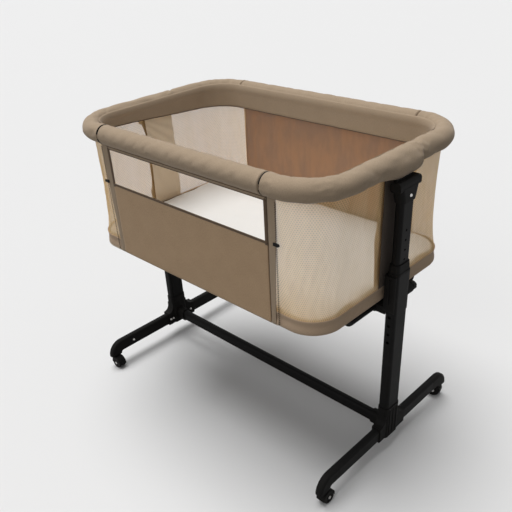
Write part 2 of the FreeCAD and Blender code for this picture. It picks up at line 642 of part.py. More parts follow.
# ------------------------------------------------- posts' moving upper part
def upper_post():
    """Inner telescoping tube with its level marks, punched through the outer side."""
    half_x, half_y = UPPER_POST_SIZE[0] / 2, UPPER_POST_SIZE[1] / 2
    wall = UPPER_POST_WALL
    bottom = UPPER_POST_TOP_Z - UPPER_POST_LENGTH
    tube = prism(half_x, half_y, UPPER_POST_CORNER, bottom, UPPER_POST_TOP_Z, POST_X)
    tube = tube.cut(prism(half_x - wall, half_y - wall, UPPER_POST_CORNER - wall,
                          bottom - PAST, UPPER_POST_TOP_Z + PAST, POST_X))
    for number in range(LEVEL_MARKS):
        z = LEVEL_MARK_Z + number * HEIGHT_STEP
        outside = Vector(POST_X + half_x + PAST, 0, z)
        tube = tube.cut(rod(LEVEL_MARK_DIAMETER / 2, Vector(POST_X, 0, z), outside))
    return tube.cut(screw_hole(bracket_screw_place(), -X_AXIS))


def bracket_arm(grow=0.0):
    """Web and ring that reach from the bracket's bar up to the rail tube, inside the sleeve."""
    ring_radius = RAIL_TUBE_RADIUS + SOCKET + BRACKET_RING_WALL + grow
    half_y = BRACKET_ARM_WIDTH / 2 + grow
    foot = Vector(POST_X - BRACKET_BAR_WIDTH / 4, -half_y, BRACKET_TOP_Z - BRACKET_ARM_ROOT)
    ring_centre = Vector(RAIL_HALF_X, -half_y, RAIL_Z)
    reach = ring_centre - foot
    across = Vector(reach.z, 0, -reach.x).normalize() * (BRACKET_ARM_THICKNESS / 2 + grow)
    corners = [foot - across, foot + across, ring_centre + across, ring_centre - across]
    web = Part.Face(Part.makePolygon(corners + corners[:1])).extrude(Vector(0, 2 * half_y, 0))
    return web.fuse(rod(ring_radius, ring_centre, ring_centre + Vector(0, 2 * half_y, 0))).removeSplitter()


def top_bracket():
    """Moulded T bracket: socket on the upper post, bar under the rail and arm round the rail tube."""
    bar_bottom = BRACKET_TOP_Z - BRACKET_BAR_HEIGHT
    bar = level_bar((BRACKET_BAR_WIDTH, BRACKET_BAR_HEIGHT), BRACKET_ROUND,
                    Vector(POST_X, -BRACKET_BAR_LENGTH / 2, bar_bottom + BRACKET_BAR_HEIGHT / 2),
                    Vector(POST_X, BRACKET_BAR_LENGTH / 2, bar_bottom + BRACKET_BAR_HEIGHT / 2))
    socket_bottom = bar_bottom - BRACKET_SOCKET_HEIGHT
    grow = SOCKET + BRACKET_SOCKET_WALL
    half_x, half_y = UPPER_POST_SIZE[0] / 2 + grow, UPPER_POST_SIZE[1] / 2 + grow
    throat = [
        rounded_rect(half_x, half_y, UPPER_POST_CORNER + grow, socket_bottom),
        rounded_rect(half_x, half_y + BRACKET_THROAT_FLARE, UPPER_POST_CORNER + grow,
                     bar_bottom + BRACKET_THROAT_RISE),
    ]
    socket = Part.makeLoft(throat, True, True)
    socket.translate(Vector(POST_X, 0, 0))
    body = bar.fuse([socket, bracket_arm()])
    bore = prism(UPPER_POST_SIZE[0] / 2 + SOCKET, UPPER_POST_SIZE[1] / 2 + SOCKET,
                 UPPER_POST_CORNER + SOCKET, socket_bottom - PAST, UPPER_POST_TOP_Z + SEAT / 2, POST_X)
    bore_half = Vector(0, BRACKET_ARM_WIDTH / 2 + PAST, 0)
    rail_centre = Vector(RAIL_HALF_X, 0, RAIL_Z)
    rail_bore = rod(RAIL_TUBE_RADIUS + SOCKET, rail_centre - bore_half, rail_centre + bore_half)
    body = body.cut([bore, rail_bore, screw_hole(bracket_screw_place(), -X_AXIS)])
    return body.removeSplitter()


def slider():
    """Moulded slider: a C channel round the lower post, a lock boss, and a clamp on the support bar."""
    middle_x = (SLIDER_INNER_X + SLIDER_OUTER_X) / 2
    body = prism((SLIDER_OUTER_X - SLIDER_INNER_X) / 2, SLIDER_HALF_WIDTH, SLIDER_CORNER,
                 SLIDER_BOTTOM_Z, SLIDER_TOP_Z, middle_x)
    side_y = -SLIDER_HALF_WIDTH
    heel_y, heel_z = side_y + SLIDER_HEEL_DEPTH, SLIDER_BOTTOM_Z + SLIDER_HEEL_RISE
    low_z, out_y = SLIDER_BOTTOM_Z - PAST, side_y - PAST
    k = 1 - math.sqrt(0.5)

    def at(y, z):
        return Vector(SLIDER_INNER_X - PAST, y, z)

    middle = at(side_y + k * SLIDER_HEEL_DEPTH, SLIDER_BOTTOM_Z + k * SLIDER_HEEL_RISE)
    curve = Part.Arc(at(side_y, heel_z), middle, at(heel_y, SLIDER_BOTTOM_Z)).toShape()
    rest = Part.makePolygon([at(heel_y, SLIDER_BOTTOM_Z), at(heel_y, low_z), at(out_y, low_z),
                             at(out_y, heel_z), at(side_y, heel_z)])
    heel = Part.Face(Part.Wire([curve] + rest.Edges))
    heel = heel.extrude(X_AXIS * (SLIDER_OUTER_X - SLIDER_INNER_X + 2 * PAST))
    rib = box(middle_x - SLIDER_RIB_WIDTH / 2, middle_x + SLIDER_RIB_WIDTH / 2, side_y - SLIDER_RIB_DEPTH,
              side_y + BLEND / 2, heel_z + SLIDER_RIB_END, SLIDER_TOP_Z - SLIDER_RIB_END)
    body = body.cut(heel)
    boss_root_y = SLIDER_HALF_WIDTH - SLIDER_CORNER
    boss = rod(BOSS_RADIUS, Vector(POST_X, boss_root_y, LOCK_Z), Vector(POST_X, BOSS_END_Y, LOCK_Z))
    half_clamp = CLAMP_LENGTH / 2
    clamp = rod(CLAMP_RADIUS, Vector(SUPPORT_BAR_X, -half_clamp, SUPPORT_BAR_Z),
                Vector(SUPPORT_BAR_X, half_clamp, SUPPORT_BAR_Z))
    arm = box(SUPPORT_BAR_X, SLIDER_INNER_X + SLIDER_CORNER, -half_clamp, half_clamp,
              SLIDER_BOTTOM_Z, SUPPORT_BAR_Z + CLAMP_ARM_RISE)
    body = body.fuse([rib, boss, clamp, arm])

    channel = prism(LOWER_POST_SIZE[0] / 2 + SLIDE, LOWER_POST_SIZE[1] / 2 + SLIDE, LOWER_POST_CORNER + SLIDE,
                    SLIDER_BOTTOM_Z - PAST, SLIDER_TOP_Z + PAST, POST_X)
    bar_bore = rod(SUPPORT_BAR_DIAMETER / 2 + SOCKET,
                   Vector(SUPPORT_BAR_X, -half_clamp - PAST, SUPPORT_BAR_Z),
                   Vector(SUPPORT_BAR_X, half_clamp + PAST, SUPPORT_BAR_Z))
    cavity = rod(CAVITY_RADIUS, Vector(POST_X, CAVITY_START_Y, LOCK_Z), Vector(POST_X, CAVITY_END_Y, LOCK_Z))
    pin_bore = rod(PLUNGER_RADIUS + RUNNING, Vector(POST_X, 0, LOCK_Z),
                   Vector(POST_X, BOSS_END_Y + PAST, LOCK_Z))
    screw_holes = [screw_hole(place, Z_AXIS) for place in clamp_screw_places()]
    body = body.cut([channel, bar_bore, cavity, pin_bore] + screw_holes)
    return body.removeSplitter()


def support_bar():
    """Bent tube under the cot's floor, with its ends turned up to the base ring."""
    half = SUPPORT_BAR_LENGTH / 2
    bend = SUPPORT_BAR_BEND
    k = bend * (1 - math.sqrt(0.5))
    top = BASKET_BOTTOM_Z - SEAT

    def at(y, z):
        return Vector(SUPPORT_BAR_X, y, z)

    low = SUPPORT_BAR_Z
    edges = [
        Part.LineSegment(at(-half, top), at(-half, low + bend)).toShape(),
        Part.Arc(at(-half, low + bend), at(-half + k, low + k), at(-half + bend, low)).toShape(),
        Part.LineSegment(at(-half + bend, low), at(half - bend, low)).toShape(),
        Part.Arc(at(half - bend, low), at(half - k, low + k), at(half, low + bend)).toShape(),
        Part.LineSegment(at(half, low + bend), at(half, top)).toShape(),
    ]
    radius = SUPPORT_BAR_DIAMETER / 2
    bar = piped(edges, radius, radius - TUBE_WALL)
    return bar.cut([screw_hole(place, Z_AXIS) for place in clamp_screw_places()])


def lock_knob():
    """Pull knob and plunger in one: the nose waits just clear of the lower post."""
    nose_y = LOCK_FACE_Y
    collar_y = CAVITY_START_Y + SEAT
    head_y = BOSS_END_Y + KNOB_NECK

    def at(y):
        return Vector(POST_X, y, LOCK_Z)

    head = rod(KNOB_RADIUS, at(head_y), at(head_y + KNOB_LENGTH))
    rims = [edge for edge in head.Edges if edge.Curve.TypeId == "Part::GeomCircle"]
    head = head.makeChamfer(KNOB_CHAMFER, rims)
    for number in range(KNOB_GRIPS):
        angle = 2 * math.pi * number / KNOB_GRIPS
        offset = Vector(math.cos(angle), 0, math.sin(angle)) * (KNOB_RADIUS + KNOB_GRIP_OUTSET)
        grip_start, grip_end = at(head_y - PAST) + offset, at(head_y + KNOB_LENGTH + PAST) + offset
        head = head.cut(rod(KNOB_GRIP_RADIUS, grip_start, grip_end))
    pin = rod(PLUNGER_RADIUS, at(nose_y), at(head_y + BLEND))
    collar = rod(PLUNGER_COLLAR_RADIUS, at(collar_y), at(collar_y + PLUNGER_COLLAR_THICKNESS))
    return head.fuse([pin, collar]).removeSplitter()


def lock_spring():
    """Coil spring behind the plunger's collar."""
    length = CAVITY_END_Y - SEAT - SPRING_START_Y
    radius = (PLUNGER_RADIUS + CAVITY_RADIUS) / 2
    rise = length - SPRING_WIRE
    helix = Part.makeHelix(rise / SPRING_COILS, rise, radius)
    angles = [2 * math.pi * (number + 0.5) / SPRING_FLATS for number in range(SPRING_FLATS)]
    corners = [Vector(radius + SPRING_WIRE / 2 * math.cos(angle), 0, SPRING_WIRE / 2 * math.sin(angle))
               for angle in angles]
    section = Part.makePolygon(corners + corners[:1])
    spring = Part.Wire(helix.Edges).makePipeShell([section], True, True)
    spring.rotate(Vector(), X_AXIS, -90)
    spring.translate(Vector(POST_X, SPRING_START_Y + SPRING_WIRE / 2, LOCK_Z))
    return spring


# --------------------------------------------------------------------- cot
def rail_tube():
    """Top rail tube, open at the front for the gate."""
    start_x = SOCKET_X + SOCKET_FLANGE_THICKNESS + SEAT / 2
    right = run_edges(RAIL_HALF_X, RAIL_HALF_Y, RAIL_CORNER_RADIUS, start_x, 0.0, RAIL_Z)
    half = piped(right, RAIL_TUBE_RADIUS, RAIL_TUBE_RADIUS - TUBE_WALL)
    return half.fuse(mirrored(half)).removeSplitter()


def end_pad():
    """Padded sleeve round the right-hand end, with room for the bracket's arm."""
    edges = run_edges(RAIL_HALF_X, RAIL_HALF_Y, RAIL_CORNER_RADIUS, FIXED_PAD_X, WALL_SEAM_X + SEAT, RAIL_Z)
    return piped(edges, PAD_RADIUS, RAIL_TUBE_RADIUS + SEAT).cut(bracket_arm(SEAT))


def straight_pad(half_length, y):
    """Straight padded sleeve along X."""
    start, end = Vector(-half_length, y, RAIL_Z), Vector(half_length, y, RAIL_Z)
    return rod(PAD_RADIUS, start, end).cut(rod(RAIL_TUBE_RADIUS + SEAT, start, end))


def rail_socket():
    """Moulded socket in the rail tube's front end, grooved towards the front for the gate's tongue."""
    y, z = -RAIL_HALF_Y, RAIL_Z
    flange_end = SOCKET_X + SOCKET_FLANGE_THICKNESS
    flange = rod(SOCKET_FLANGE_RADIUS, Vector(SOCKET_X, y, z), Vector(flange_end, y, z))
    spigot = rod(RAIL_TUBE_RADIUS - TUBE_WALL - SOCKET, Vector(flange_end, y, z),
                 Vector(flange_end + PLUG_DEPTH, y, z))
    half_back = TONGUE_HEIGHT / 2 + SLIDE
    half_mouth = half_back + SOCKET_LEAD_IN
    back_y, mouth_y = y + TONGUE_LENGTH / 2 + SEAT, y - 2 * SOCKET_FLANGE_RADIUS
    front_x = SOCKET_X - PAST
    corners = [Vector(front_x, back_y, z - half_back), Vector(front_x, back_y, z + half_back),
               Vector(front_x, mouth_y, z + half_mouth), Vector(front_x, mouth_y, z - half_mouth)]
    depth = PAST + SOCKET_FLANGE_THICKNESS - SOCKET_BACK_WALL
    groove = Part.Face(Part.makePolygon(corners + corners[:1])).extrude(Vector(depth, 0, 0))
    return flange.fuse(spigot).cut(groove).removeSplitter()


def gate_catch():
    """Moulded plug in the gate rail's end, with the tongue that seats in the socket."""
    y, z = -RAIL_HALF_Y, RAIL_Z
    tube_end = GATE_HALF - SOCKET_FLANGE_THICKNESS
    flange = rod(RAIL_TUBE_RADIUS, Vector(tube_end, y, z), Vector(GATE_HALF, y, z))
    spigot = rod(RAIL_TUBE_RADIUS - TUBE_WALL - SOCKET, Vector(tube_end - PLUG_DEPTH, y, z),
                 Vector(tube_end, y, z))
    half_y, half_z = TONGUE_LENGTH / 2, TONGUE_HEIGHT / 2
    tongue_end = SOCKET_X + SOCKET_FLANGE_THICKNESS - SOCKET_BACK_WALL - GATE_JOINT_GAP
    tongue = box(GATE_HALF - BLEND, tongue_end, y - half_y, y + half_y, z - half_z, z + half_z)
    return flange.fuse([spigot, tongue]).removeSplitter()


def gate_rail_tube():
    """Straight tube in the gate's padded rail."""
    half = GATE_HALF - SOCKET_FLANGE_THICKNESS - SEAT / 2
    start, end = Vector(-half, -RAIL_HALF_Y, RAIL_Z), Vector(half, -RAIL_HALF_Y, RAIL_Z)
    return rod(RAIL_TUBE_RADIUS, start, end).cut(rod(RAIL_TUBE_RADIUS - TUBE_WALL, start, end))


def gate_panel():
    """Front fabric with its window: a low solid panel, two side hems and a hem under the rail."""
    top = WALL_TOP_Z
    outer_y = GATE_INNER_Y - GATE_FABRIC
    sheet = box(-GATE_HALF, GATE_HALF, outer_y, GATE_INNER_Y, GATE_BOTTOM_Z, top)
    half_window = GATE_HALF - GATE_HEM_WIDTH
    window = box(-half_window, half_window, outer_y - PAST, GATE_INNER_Y + PAST,
                 GATE_PANEL_TOP_Z, top - GATE_TOP_HEM)
    return sheet.cut(window)


def front_stile():
    """Fixed strip beside the gate that carries the zip."""
    y = GATE_INNER_Y - FABRIC_THICKNESS
    return box(FRONT_STILE_X, FRONT_STILE_X + FRONT_STILE_WIDTH, y, GATE_INNER_Y, GATE_BOTTOM_Z, WALL_TOP_Z)


def zip_pull():
    """Zip slider and its tab, which points away from the gate."""
    outer_y = GATE_INNER_Y - FABRIC_THICKNESS - SEAT
    start_x = FRONT_STILE_X + FRONT_STILE_WIDTH - ZIP_PULL_LENGTH / 2
    half = ZIP_PULL_HEIGHT / 2
    slab = box(start_x, start_x + ZIP_PULL_LENGTH, outer_y - ZIP_PULL_THICKNESS, outer_y,
               ZIP_PULL_Z - half, ZIP_PULL_Z + half)
    tip = [edge for edge in slab.Edges
           if edge.BoundBox.YLength > BLEND and edge.BoundBox.XMin > start_x + half]
    return slab.makeFillet(ZIP_PULL_ROUND, tip)


def base_ring():
    """Tube frame round the bottom of the cot."""
    inset = FABRIC_THICKNESS + SEAT + BASE_TUBE_RADIUS
    half_x, half_y = BASE_HALF_X - inset, BASE_HALF_Y - inset
    right = run_edges(half_x, half_y, BASE_CORNER_RADIUS - inset, 0.0, 0.0, BASE_RING_Z)
    half = piped(right, BASE_TUBE_RADIUS, BASE_TUBE_RADIUS - TUBE_WALL)
    return half.fuse(mirrored(half)).removeSplitter()


def base_skirt():
    """Opaque fabric band round the base, turned in under the ring."""
    outer = prism(BASE_HALF_X, BASE_HALF_Y, BASE_CORNER_RADIUS, BASKET_BOTTOM_Z, SKIRT_TOP_Z)
    wall = FABRIC_THICKNESS
    inner = prism(BASE_HALF_X - wall, BASE_HALF_Y - wall, BASE_CORNER_RADIUS - wall,
                  BASKET_BOTTOM_Z + wall, SKIRT_TOP_Z + PAST)
    flange = SKIRT_FLANGE
    opening = prism(BASE_HALF_X - flange, BASE_HALF_Y - flange, BASE_CORNER_RADIUS - flange,
                    BASKET_BOTTOM_Z - PAST, SKIRT_TOP_Z)
    return outer.cut([inner, opening])


def floor_board():
    """Board on the base ring."""
    inset = FABRIC_THICKNESS + FLOOR_BOARD_CLEARANCE
    return prism(BASE_HALF_X - inset, BASE_HALF_Y - inset, BASE_CORNER_RADIUS - inset,
                 FLOOR_BOARD_Z, FLOOR_BOARD_Z + FLOOR_BOARD_THICKNESS)


def mattress():
    """Thin mattress on the floor board."""
    inset = FABRIC_THICKNESS + MATTRESS_CLEARANCE
    pad = prism(BASE_HALF_X - inset, BASE_HALF_Y - inset, BASE_CORNER_RADIUS - inset,
                MATTRESS_Z, MATTRESS_Z + MATTRESS_THICKNESS)
    rims = [edge for edge in pad.Edges if edge.BoundBox.ZLength < MATTRESS_EDGE]
    return pad.makeChamfer(MATTRESS_EDGE, rims)


def end_wall():
    """Sheer wall round the right-hand end. It leans with the corners, which are tighter at the base."""
    front_x, back_x = FRONT_STILE_X, WALL_SEAM_X + SEAT
    low = strip_outline(BASE_HALF_X, BASE_HALF_Y, BASE_CORNER_RADIUS, front_x, back_x, SKIRT_TOP_Z)
    high = strip_outline(RAIL_HALF_X, RAIL_HALF_Y, RAIL_CORNER_RADIUS, front_x, back_x, WALL_TOP_Z)
    return Part.makeLoft([low, high], True, True)


def back_wall():
    """Sheer wall along the back."""
    def outline(half_y, z):
        x = WALL_SEAM_X
        inner = half_y - FABRIC_THICKNESS
        corners = [Vector(-x, inner, z), Vector(x, inner, z), Vector(x, half_y, z), Vector(-x, half_y, z)]
        return Part.makePolygon(corners + corners[:1])

    return Part.makeLoft([outline(BASE_HALF_Y, SKIRT_TOP_Z), outline(RAIL_HALF_Y, WALL_TOP_Z)], True, True)


def end_stile():
    """Fabric strip on the end wall behind the post."""
    x = max(RAIL_HALF_X, BASE_HALF_X) + SEAT
    half = END_STILE_WIDTH / 2
    return box(x, x + FABRIC_THICKNESS, -half, half, SKIRT_TOP_Z + STILE_FOOT_GAP, WALL_TOP_Z)


# ---------------------------------------------------------------- assembly
def pair(shape):
    """A right-hand piece and its mirror image, in one node."""
    return Part.makeCompound([shape, mirrored(shape)])


def build():
    """Every node of the crib, by name."""
    nodes = {"stretcher_tube": stretcher(), "post_collars": pair(post_collar())}
    both_ends = {
        "hub": hub(),
        "lower_post": lower_post(),
        "front_foot_tube": foot_tube(-FOOT_SEAM_Y, -FOOT_TUBE_START_Y),
        "rear_foot_tube": foot_tube(FOOT_TUBE_START_Y, FOOT_SEAM_Y),
        "front_foot_end": foot_end(-1),
        "rear_foot_end": foot_end(1),
        "upper_post": upper_post(),
        "top_bracket": top_bracket(),
        "slider": slider(),
        "support_bar": support_bar(),
        "lock_knob": lock_knob(),
        "lock_spring": lock_spring(),
        "rail_pad": end_pad(),
        "end_wall": end_wall(),
        "zip_pull": zip_pull(),
    }
    for name, shape in both_ends.items():
        nodes[name + "_right"] = shape
        nodes[name + "_left"] = mirrored(shape)

    leg_screws = [screw(place, X_AXIS) for place in hub_screw_places() + foot_screw_places()]
    nodes["leg_screws"] = Part.makeCompound(leg_screws + [mirrored(shape) for shape in leg_screws])
    cot_screws = [screw(bracket_screw_place(), -X_AXIS)]
    cot_screws += [screw(place, Z_AXIS) for place in clamp_screw_places()]
    nodes["cot_screws"] = Part.makeCompound(cot_screws + [mirrored(shape) for shape in cot_screws])

    for corner in CASTER_TRAILS:
        nodes["caster_housing_" + corner] = placed_caster(caster_housing(), corner)
        nodes["caster_wheels_" + corner] = placed_caster(caster_wheels(), corner)
        nodes["caster_axle_" + corner] = placed_caster(caster_axle(), corner)

    nodes["rail_tube"] = rail_tube()
    nodes["rail_pad_back"] = straight_pad(WALL_SEAM_X, RAIL_HALF_Y)
    nodes["rail_sockets"] = pair(rail_socket())
    nodes["base_ring_tube"] = base_ring()
    nodes["base_skirt"] = base_skirt()
    nodes["floor_board"] = floor_board()
    nodes["mattress"] = mattress()
    nodes["back_wall"] = back_wall()
    nodes["end_stiles"] = pair(end_stile())
    nodes["front_stiles"] = pair(front_stile())

    nodes["gate_rail_tube"] = gate_rail_tube()
    nodes["gate_catches"] = pair(gate_catch())
    nodes["gate_rail_pad"] = straight_pad(GATE_HALF, -RAIL_HALF_Y)
    nodes["gate_panel"] = gate_panel()
    return nodes


os.makedirs("parts", exist_ok=True)
for node_name, node_shape in build().items():
    node_shape.exportStep("parts/" + node_name + ".step")
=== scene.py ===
"""Looks of a bedside sleeper crib: padded rail, sheer walls, drop panel, mattress and black stand."""
import json
import logging
import math
from dataclasses import dataclass, field
from enum import Enum
from typing import Callable, Sequence

import bpy
import numpy as np
from mathutils import Matrix, Vector

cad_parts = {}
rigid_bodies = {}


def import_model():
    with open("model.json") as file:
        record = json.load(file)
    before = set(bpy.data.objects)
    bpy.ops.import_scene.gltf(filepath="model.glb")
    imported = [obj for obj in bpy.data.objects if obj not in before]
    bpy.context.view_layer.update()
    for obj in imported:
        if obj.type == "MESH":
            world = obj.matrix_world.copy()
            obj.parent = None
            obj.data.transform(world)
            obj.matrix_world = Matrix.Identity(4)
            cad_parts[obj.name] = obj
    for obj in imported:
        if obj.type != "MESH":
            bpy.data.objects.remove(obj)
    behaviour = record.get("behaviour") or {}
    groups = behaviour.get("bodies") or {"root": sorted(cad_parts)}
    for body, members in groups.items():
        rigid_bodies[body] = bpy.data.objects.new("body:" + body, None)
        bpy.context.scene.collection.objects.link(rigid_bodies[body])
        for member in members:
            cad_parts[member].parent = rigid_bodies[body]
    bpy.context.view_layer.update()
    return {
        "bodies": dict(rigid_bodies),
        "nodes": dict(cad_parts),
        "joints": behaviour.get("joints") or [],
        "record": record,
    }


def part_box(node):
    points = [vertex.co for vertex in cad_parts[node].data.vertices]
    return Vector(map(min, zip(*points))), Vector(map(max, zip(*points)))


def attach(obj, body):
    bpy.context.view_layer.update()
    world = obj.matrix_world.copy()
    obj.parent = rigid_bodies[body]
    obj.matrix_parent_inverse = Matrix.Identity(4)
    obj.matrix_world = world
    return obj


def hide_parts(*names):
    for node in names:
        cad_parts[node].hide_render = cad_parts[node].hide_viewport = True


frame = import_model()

LOG = logging.getLogger("crib")
MM = 0.001
PLACE = "cloth_place"
TAU = 2 * math.pi
UP = (0.0, 0.0, 1.0)
SIDEWAYS = (1.0, 0.0, 0.0)
Array = np.ndarray
Colour = tuple[float, float, float]
Point = tuple[float, float, float]


def running(steps: Sequence[float]) -> Array:
    """Sums of a row of steps, starting at nought."""
    return np.concatenate([[0.0], np.cumsum(steps)])


# ------------------------------------------------------------------ places and sizes
@dataclass(frozen=True)
class Oval:
    """Rounded rectangle in plan, walked by arc length from the middle of the front towards +X.

    Args:
        half_x: Half of its length.
        half_y: Half of its width.
        corner: Corner radius.
    """

    half_x: float
    half_y: float
    corner: float

    def spans(self) -> list[float]:
        """Lengths of the nine stretches, from the middle of the front all the way round."""
        along, across = self.half_x - self.corner, self.half_y - self.corner
        arc = self.corner * math.pi / 2
        return [along, arc, 2 * across, arc, 2 * along, arc, 2 * across, arc, along]

    def marks(self) -> Array:
        """Arc lengths at which the stretches start and end."""
        return running(self.spans())

    def length(self) -> float:
        """Length all the way round."""
        return float(self.marks()[-1])

    def grown(self, by: float) -> "Oval":
        """The oval that runs outside this one by a distance."""
        return Oval(self.half_x + by, self.half_y + by, self.corner + by)

    def walk(self, stations: Array) -> tuple[Array, Array]:
        """Points and outward directions.

        Args:
            stations: Arc lengths. They may be negative or run past the end.

        Returns:
            Two arrays of X and Y, one row per station.
        """
        marks = self.marks()
        s = np.mod(np.asarray(stations, float), marks[-1])
        part = np.clip(np.searchsorted(marks, s, side="right") - 1, 0, 8)
        run = s - marks[part]
        cx, cy = self.half_x - self.corner, self.half_y - self.corner
        corners = {1: (cx, -cy, -90.0), 3: (cx, cy, 0.0), 5: (-cx, cy, 90.0), 7: (-cx, -cy, 180.0)}
        points, normals = np.zeros((len(s), 2)), np.zeros((len(s), 2))
        straight = {
            0: (lambda d: (d, -self.half_y + 0 * d), (0, -1)),
            2: (lambda d: (self.half_x + 0 * d, -cy + d), (1, 0)),
            4: (lambda d: (cx - d, self.half_y + 0 * d), (0, 1)),
            6: (lambda d: (-self.half_x + 0 * d, cy - d), (-1, 0)),
            8: (lambda d: (-cx + d, -self.half_y + 0 * d), (0, -1)),
        }
        for number, (place, out) in straight.items():
            here = part == number
            points[here, 0], points[here, 1] = place(run[here])
            normals[here] = out
        for number, (x, y, start) in corners.items():
            here = part == number
            angle = np.radians(start) + run[here] / self.corner
            normals[here] = np.stack([np.cos(angle), np.sin(angle)], 1)
            points[here] = np.array([x, y]) + self.corner * normals[here]
        return points, normals


@dataclass(frozen=True)
class CribPlan:
    """Sizes that the fabric takes from the frame, in metres.

    Args:
        rail_tube_radius: Radius of the steel tube in the rail.
        rail_corner: Corner radius of the rail's centreline.
        base_corner: Corner radius of the cot's base.
        seam_angle: How far round each corner the sleeve's seam lies, from the long side.
        panel_top: Top edge of the solid front panel.
        facing_low: Lower seam of the facing inside the rail.
        socket_cover: How much of each rail socket the fixed sleeve covers, from the socket's outer end.
    """

    rail_tube_radius: float = 11 * MM
    rail_corner: float = 110 * MM
    base_corner: float = 80 * MM
    seam_angle: float = 55.0
    panel_top: float = 692 * MM
    facing_low: float = 774 * MM
    socket_cover: float = 18.8 * MM

    def rail(self) -> Oval:
        """Centreline of the rail."""
        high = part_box("rail_tube")[1]
        inset = self.rail_tube_radius
        return Oval(high.x - inset, high.y - inset, self.rail_corner)

    def base(self) -> Oval:
        """Outline of the cot's base."""
        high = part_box("base_skirt")[1]
        return Oval(high.x, high.y, self.base_corner)

    def rail_z(self) -> float:
        """Height of the rail's centreline."""
        low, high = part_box("gate_rail_pad")
        return (low.z + high.z) / 2

    def pad_radius(self) -> float:
        """Radius of the padded sleeve."""
        low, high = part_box("gate_rail_pad")
        return (high.z - low.z) / 2

    def gate_half(self) -> float:
        """Half of the drop side's length."""
        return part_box("gate_panel")[1].x

    def joint_x(self) -> float:
        """Where the fixed sleeves start, beside the drop side: they cover the sockets' flanges."""
        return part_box("rail_sockets")[1].x - self.socket_cover

    def seam_stations(self, oval: Oval) -> dict[str, float]:
        """Seams of the sleeve on the two right-hand corners.

        Args:
            oval: Line that they are measured along.

        Returns:
            Arc lengths of the front corner's seam and of the back corner's.
        """
        marks = oval.marks()
        share = self.seam_angle / 90.0
        arc = oval.corner * math.pi / 2
        return {"front": marks[1] + share * arc, "back": marks[4] - share * arc}


# --------------------------------------------------------------------------- meshes
def smooth(edge0: float, edge1: float, value: Array) -> Array:
    """Smooth step from 0 at edge0 to 1 at edge1."""
    t = np.clip((value - edge0) / (edge1 - edge0), 0.0, 1.0)
    return t * t * (3 - 2 * t)


def bell(value: Array, centre: float, width: float) -> Array:
    """Bell curve of height 1."""
    return np.exp(-(((value - centre) / width) ** 2))


def waves(seed: int, a: Array, b: Array, sizes: Sequence[float], count: int = 9) -> Array:
    """Smooth seeded unevenness over two coordinates, about -1 to 1.

    Args:
        seed: Seed of the random draws.
        a: First coordinate, in metres.
        b: Second coordinate, in metres.
        sizes: Shortest and longest wave, in metres.
        count: How many waves are added up.

    Returns:
        An array of the coordinates' shape.
    """
    draw = np.random.default_rng(seed)
    total = np.zeros(np.broadcast(a, b).shape)
    for _ in range(count):
        length = math.exp(draw.uniform(math.log(sizes[0]), math.log(sizes[1])))
        turn, phase = draw.uniform(0, TAU), draw.uniform(0, TAU)
        total = total + np.sin(TAU / length * (a * math.cos(turn) + b * math.sin(turn)) + phase)
    return total / math.sqrt(count * 2)


def add_mesh(name: str, points: Array, faces: list, place: Array) -> bpy.types.Object:
    """A smooth mesh object with its cloth coordinates.

    Args:
        name: Name of the piece.
        points: Vertices, one row each.
        faces: Vertex numbers of each face.
        place: Cloth coordinates in metres, one row per vertex.

    Returns:
        The object, linked into the scene.
    """
    mesh = bpy.data.meshes.new(name)
    mesh.from_pydata(points.tolist(), [], faces)
    attribute = mesh.attributes.new(PLACE, "FLOAT_VECTOR", "POINT")
    full = np.zeros((len(points), 3), np.float32)
    full[:, : place.shape[1]] = place
    attribute.data.foreach_set("vector", full.ravel())
    mesh.polygons.foreach_set("use_smooth", [True] * len(mesh.polygons))
    mesh.update()
    piece = bpy.data.objects.new(name, mesh)
    bpy.context.scene.collection.objects.link(piece)
    return piece


def grid_faces(rows: int, columns: int, wrap_rows: bool = False, wrap_columns: bool = False) -> list:
    """Quads of a grid of vertices that are numbered row by row.

    Args:
        rows: Rows of vertices.
        columns: Vertices in each row.
        wrap_rows: True if the last row meets the first.
        wrap_columns: True if each row is a ring.

    Returns:
        Vertex numbers of each face.
    """
    faces = []
    for i in range(rows if wrap_rows else rows - 1):
        for j in range(columns if wrap_columns else columns - 1):
            k, l = (i + 1) % rows, (j + 1) % columns
            faces.append((i * columns + j, k * columns + j, k * columns + l, i * columns + l))
    return faces


def tube_faces(rings: int, sides: int) -> list:
    """Quads of a row of rings, with a face over each end.

    Args:
        rings: How many rings there are.
        sides: Vertices in each ring.

    Returns:
        Vertex numbers of each face.
    """
    faces = grid_faces(rings, sides, wrap_columns=True)
    faces.append(tuple(range(sides)))
    faces.append(tuple(range((rings - 1) * sides, rings * sides))[::-1])
    return faces


def sheet_of(name: str, points: Array, place: Array, wrap_rows: bool = False) -> bpy.types.Object:
    """A sheet from a grid of points.

    Args:
        name: Name of the piece.
        points: Array of rows by columns by 3.
        place: Array of rows by columns by 2, in metres.
        wrap_rows: True if the last row meets the first.

    Returns:
        The object.
    """
    rows, columns = points.shape[:2]
    faces = grid_faces(rows, columns, wrap_rows)
    return add_mesh(name, points.reshape(-1, 3), faces, place.reshape(rows * columns, -1))


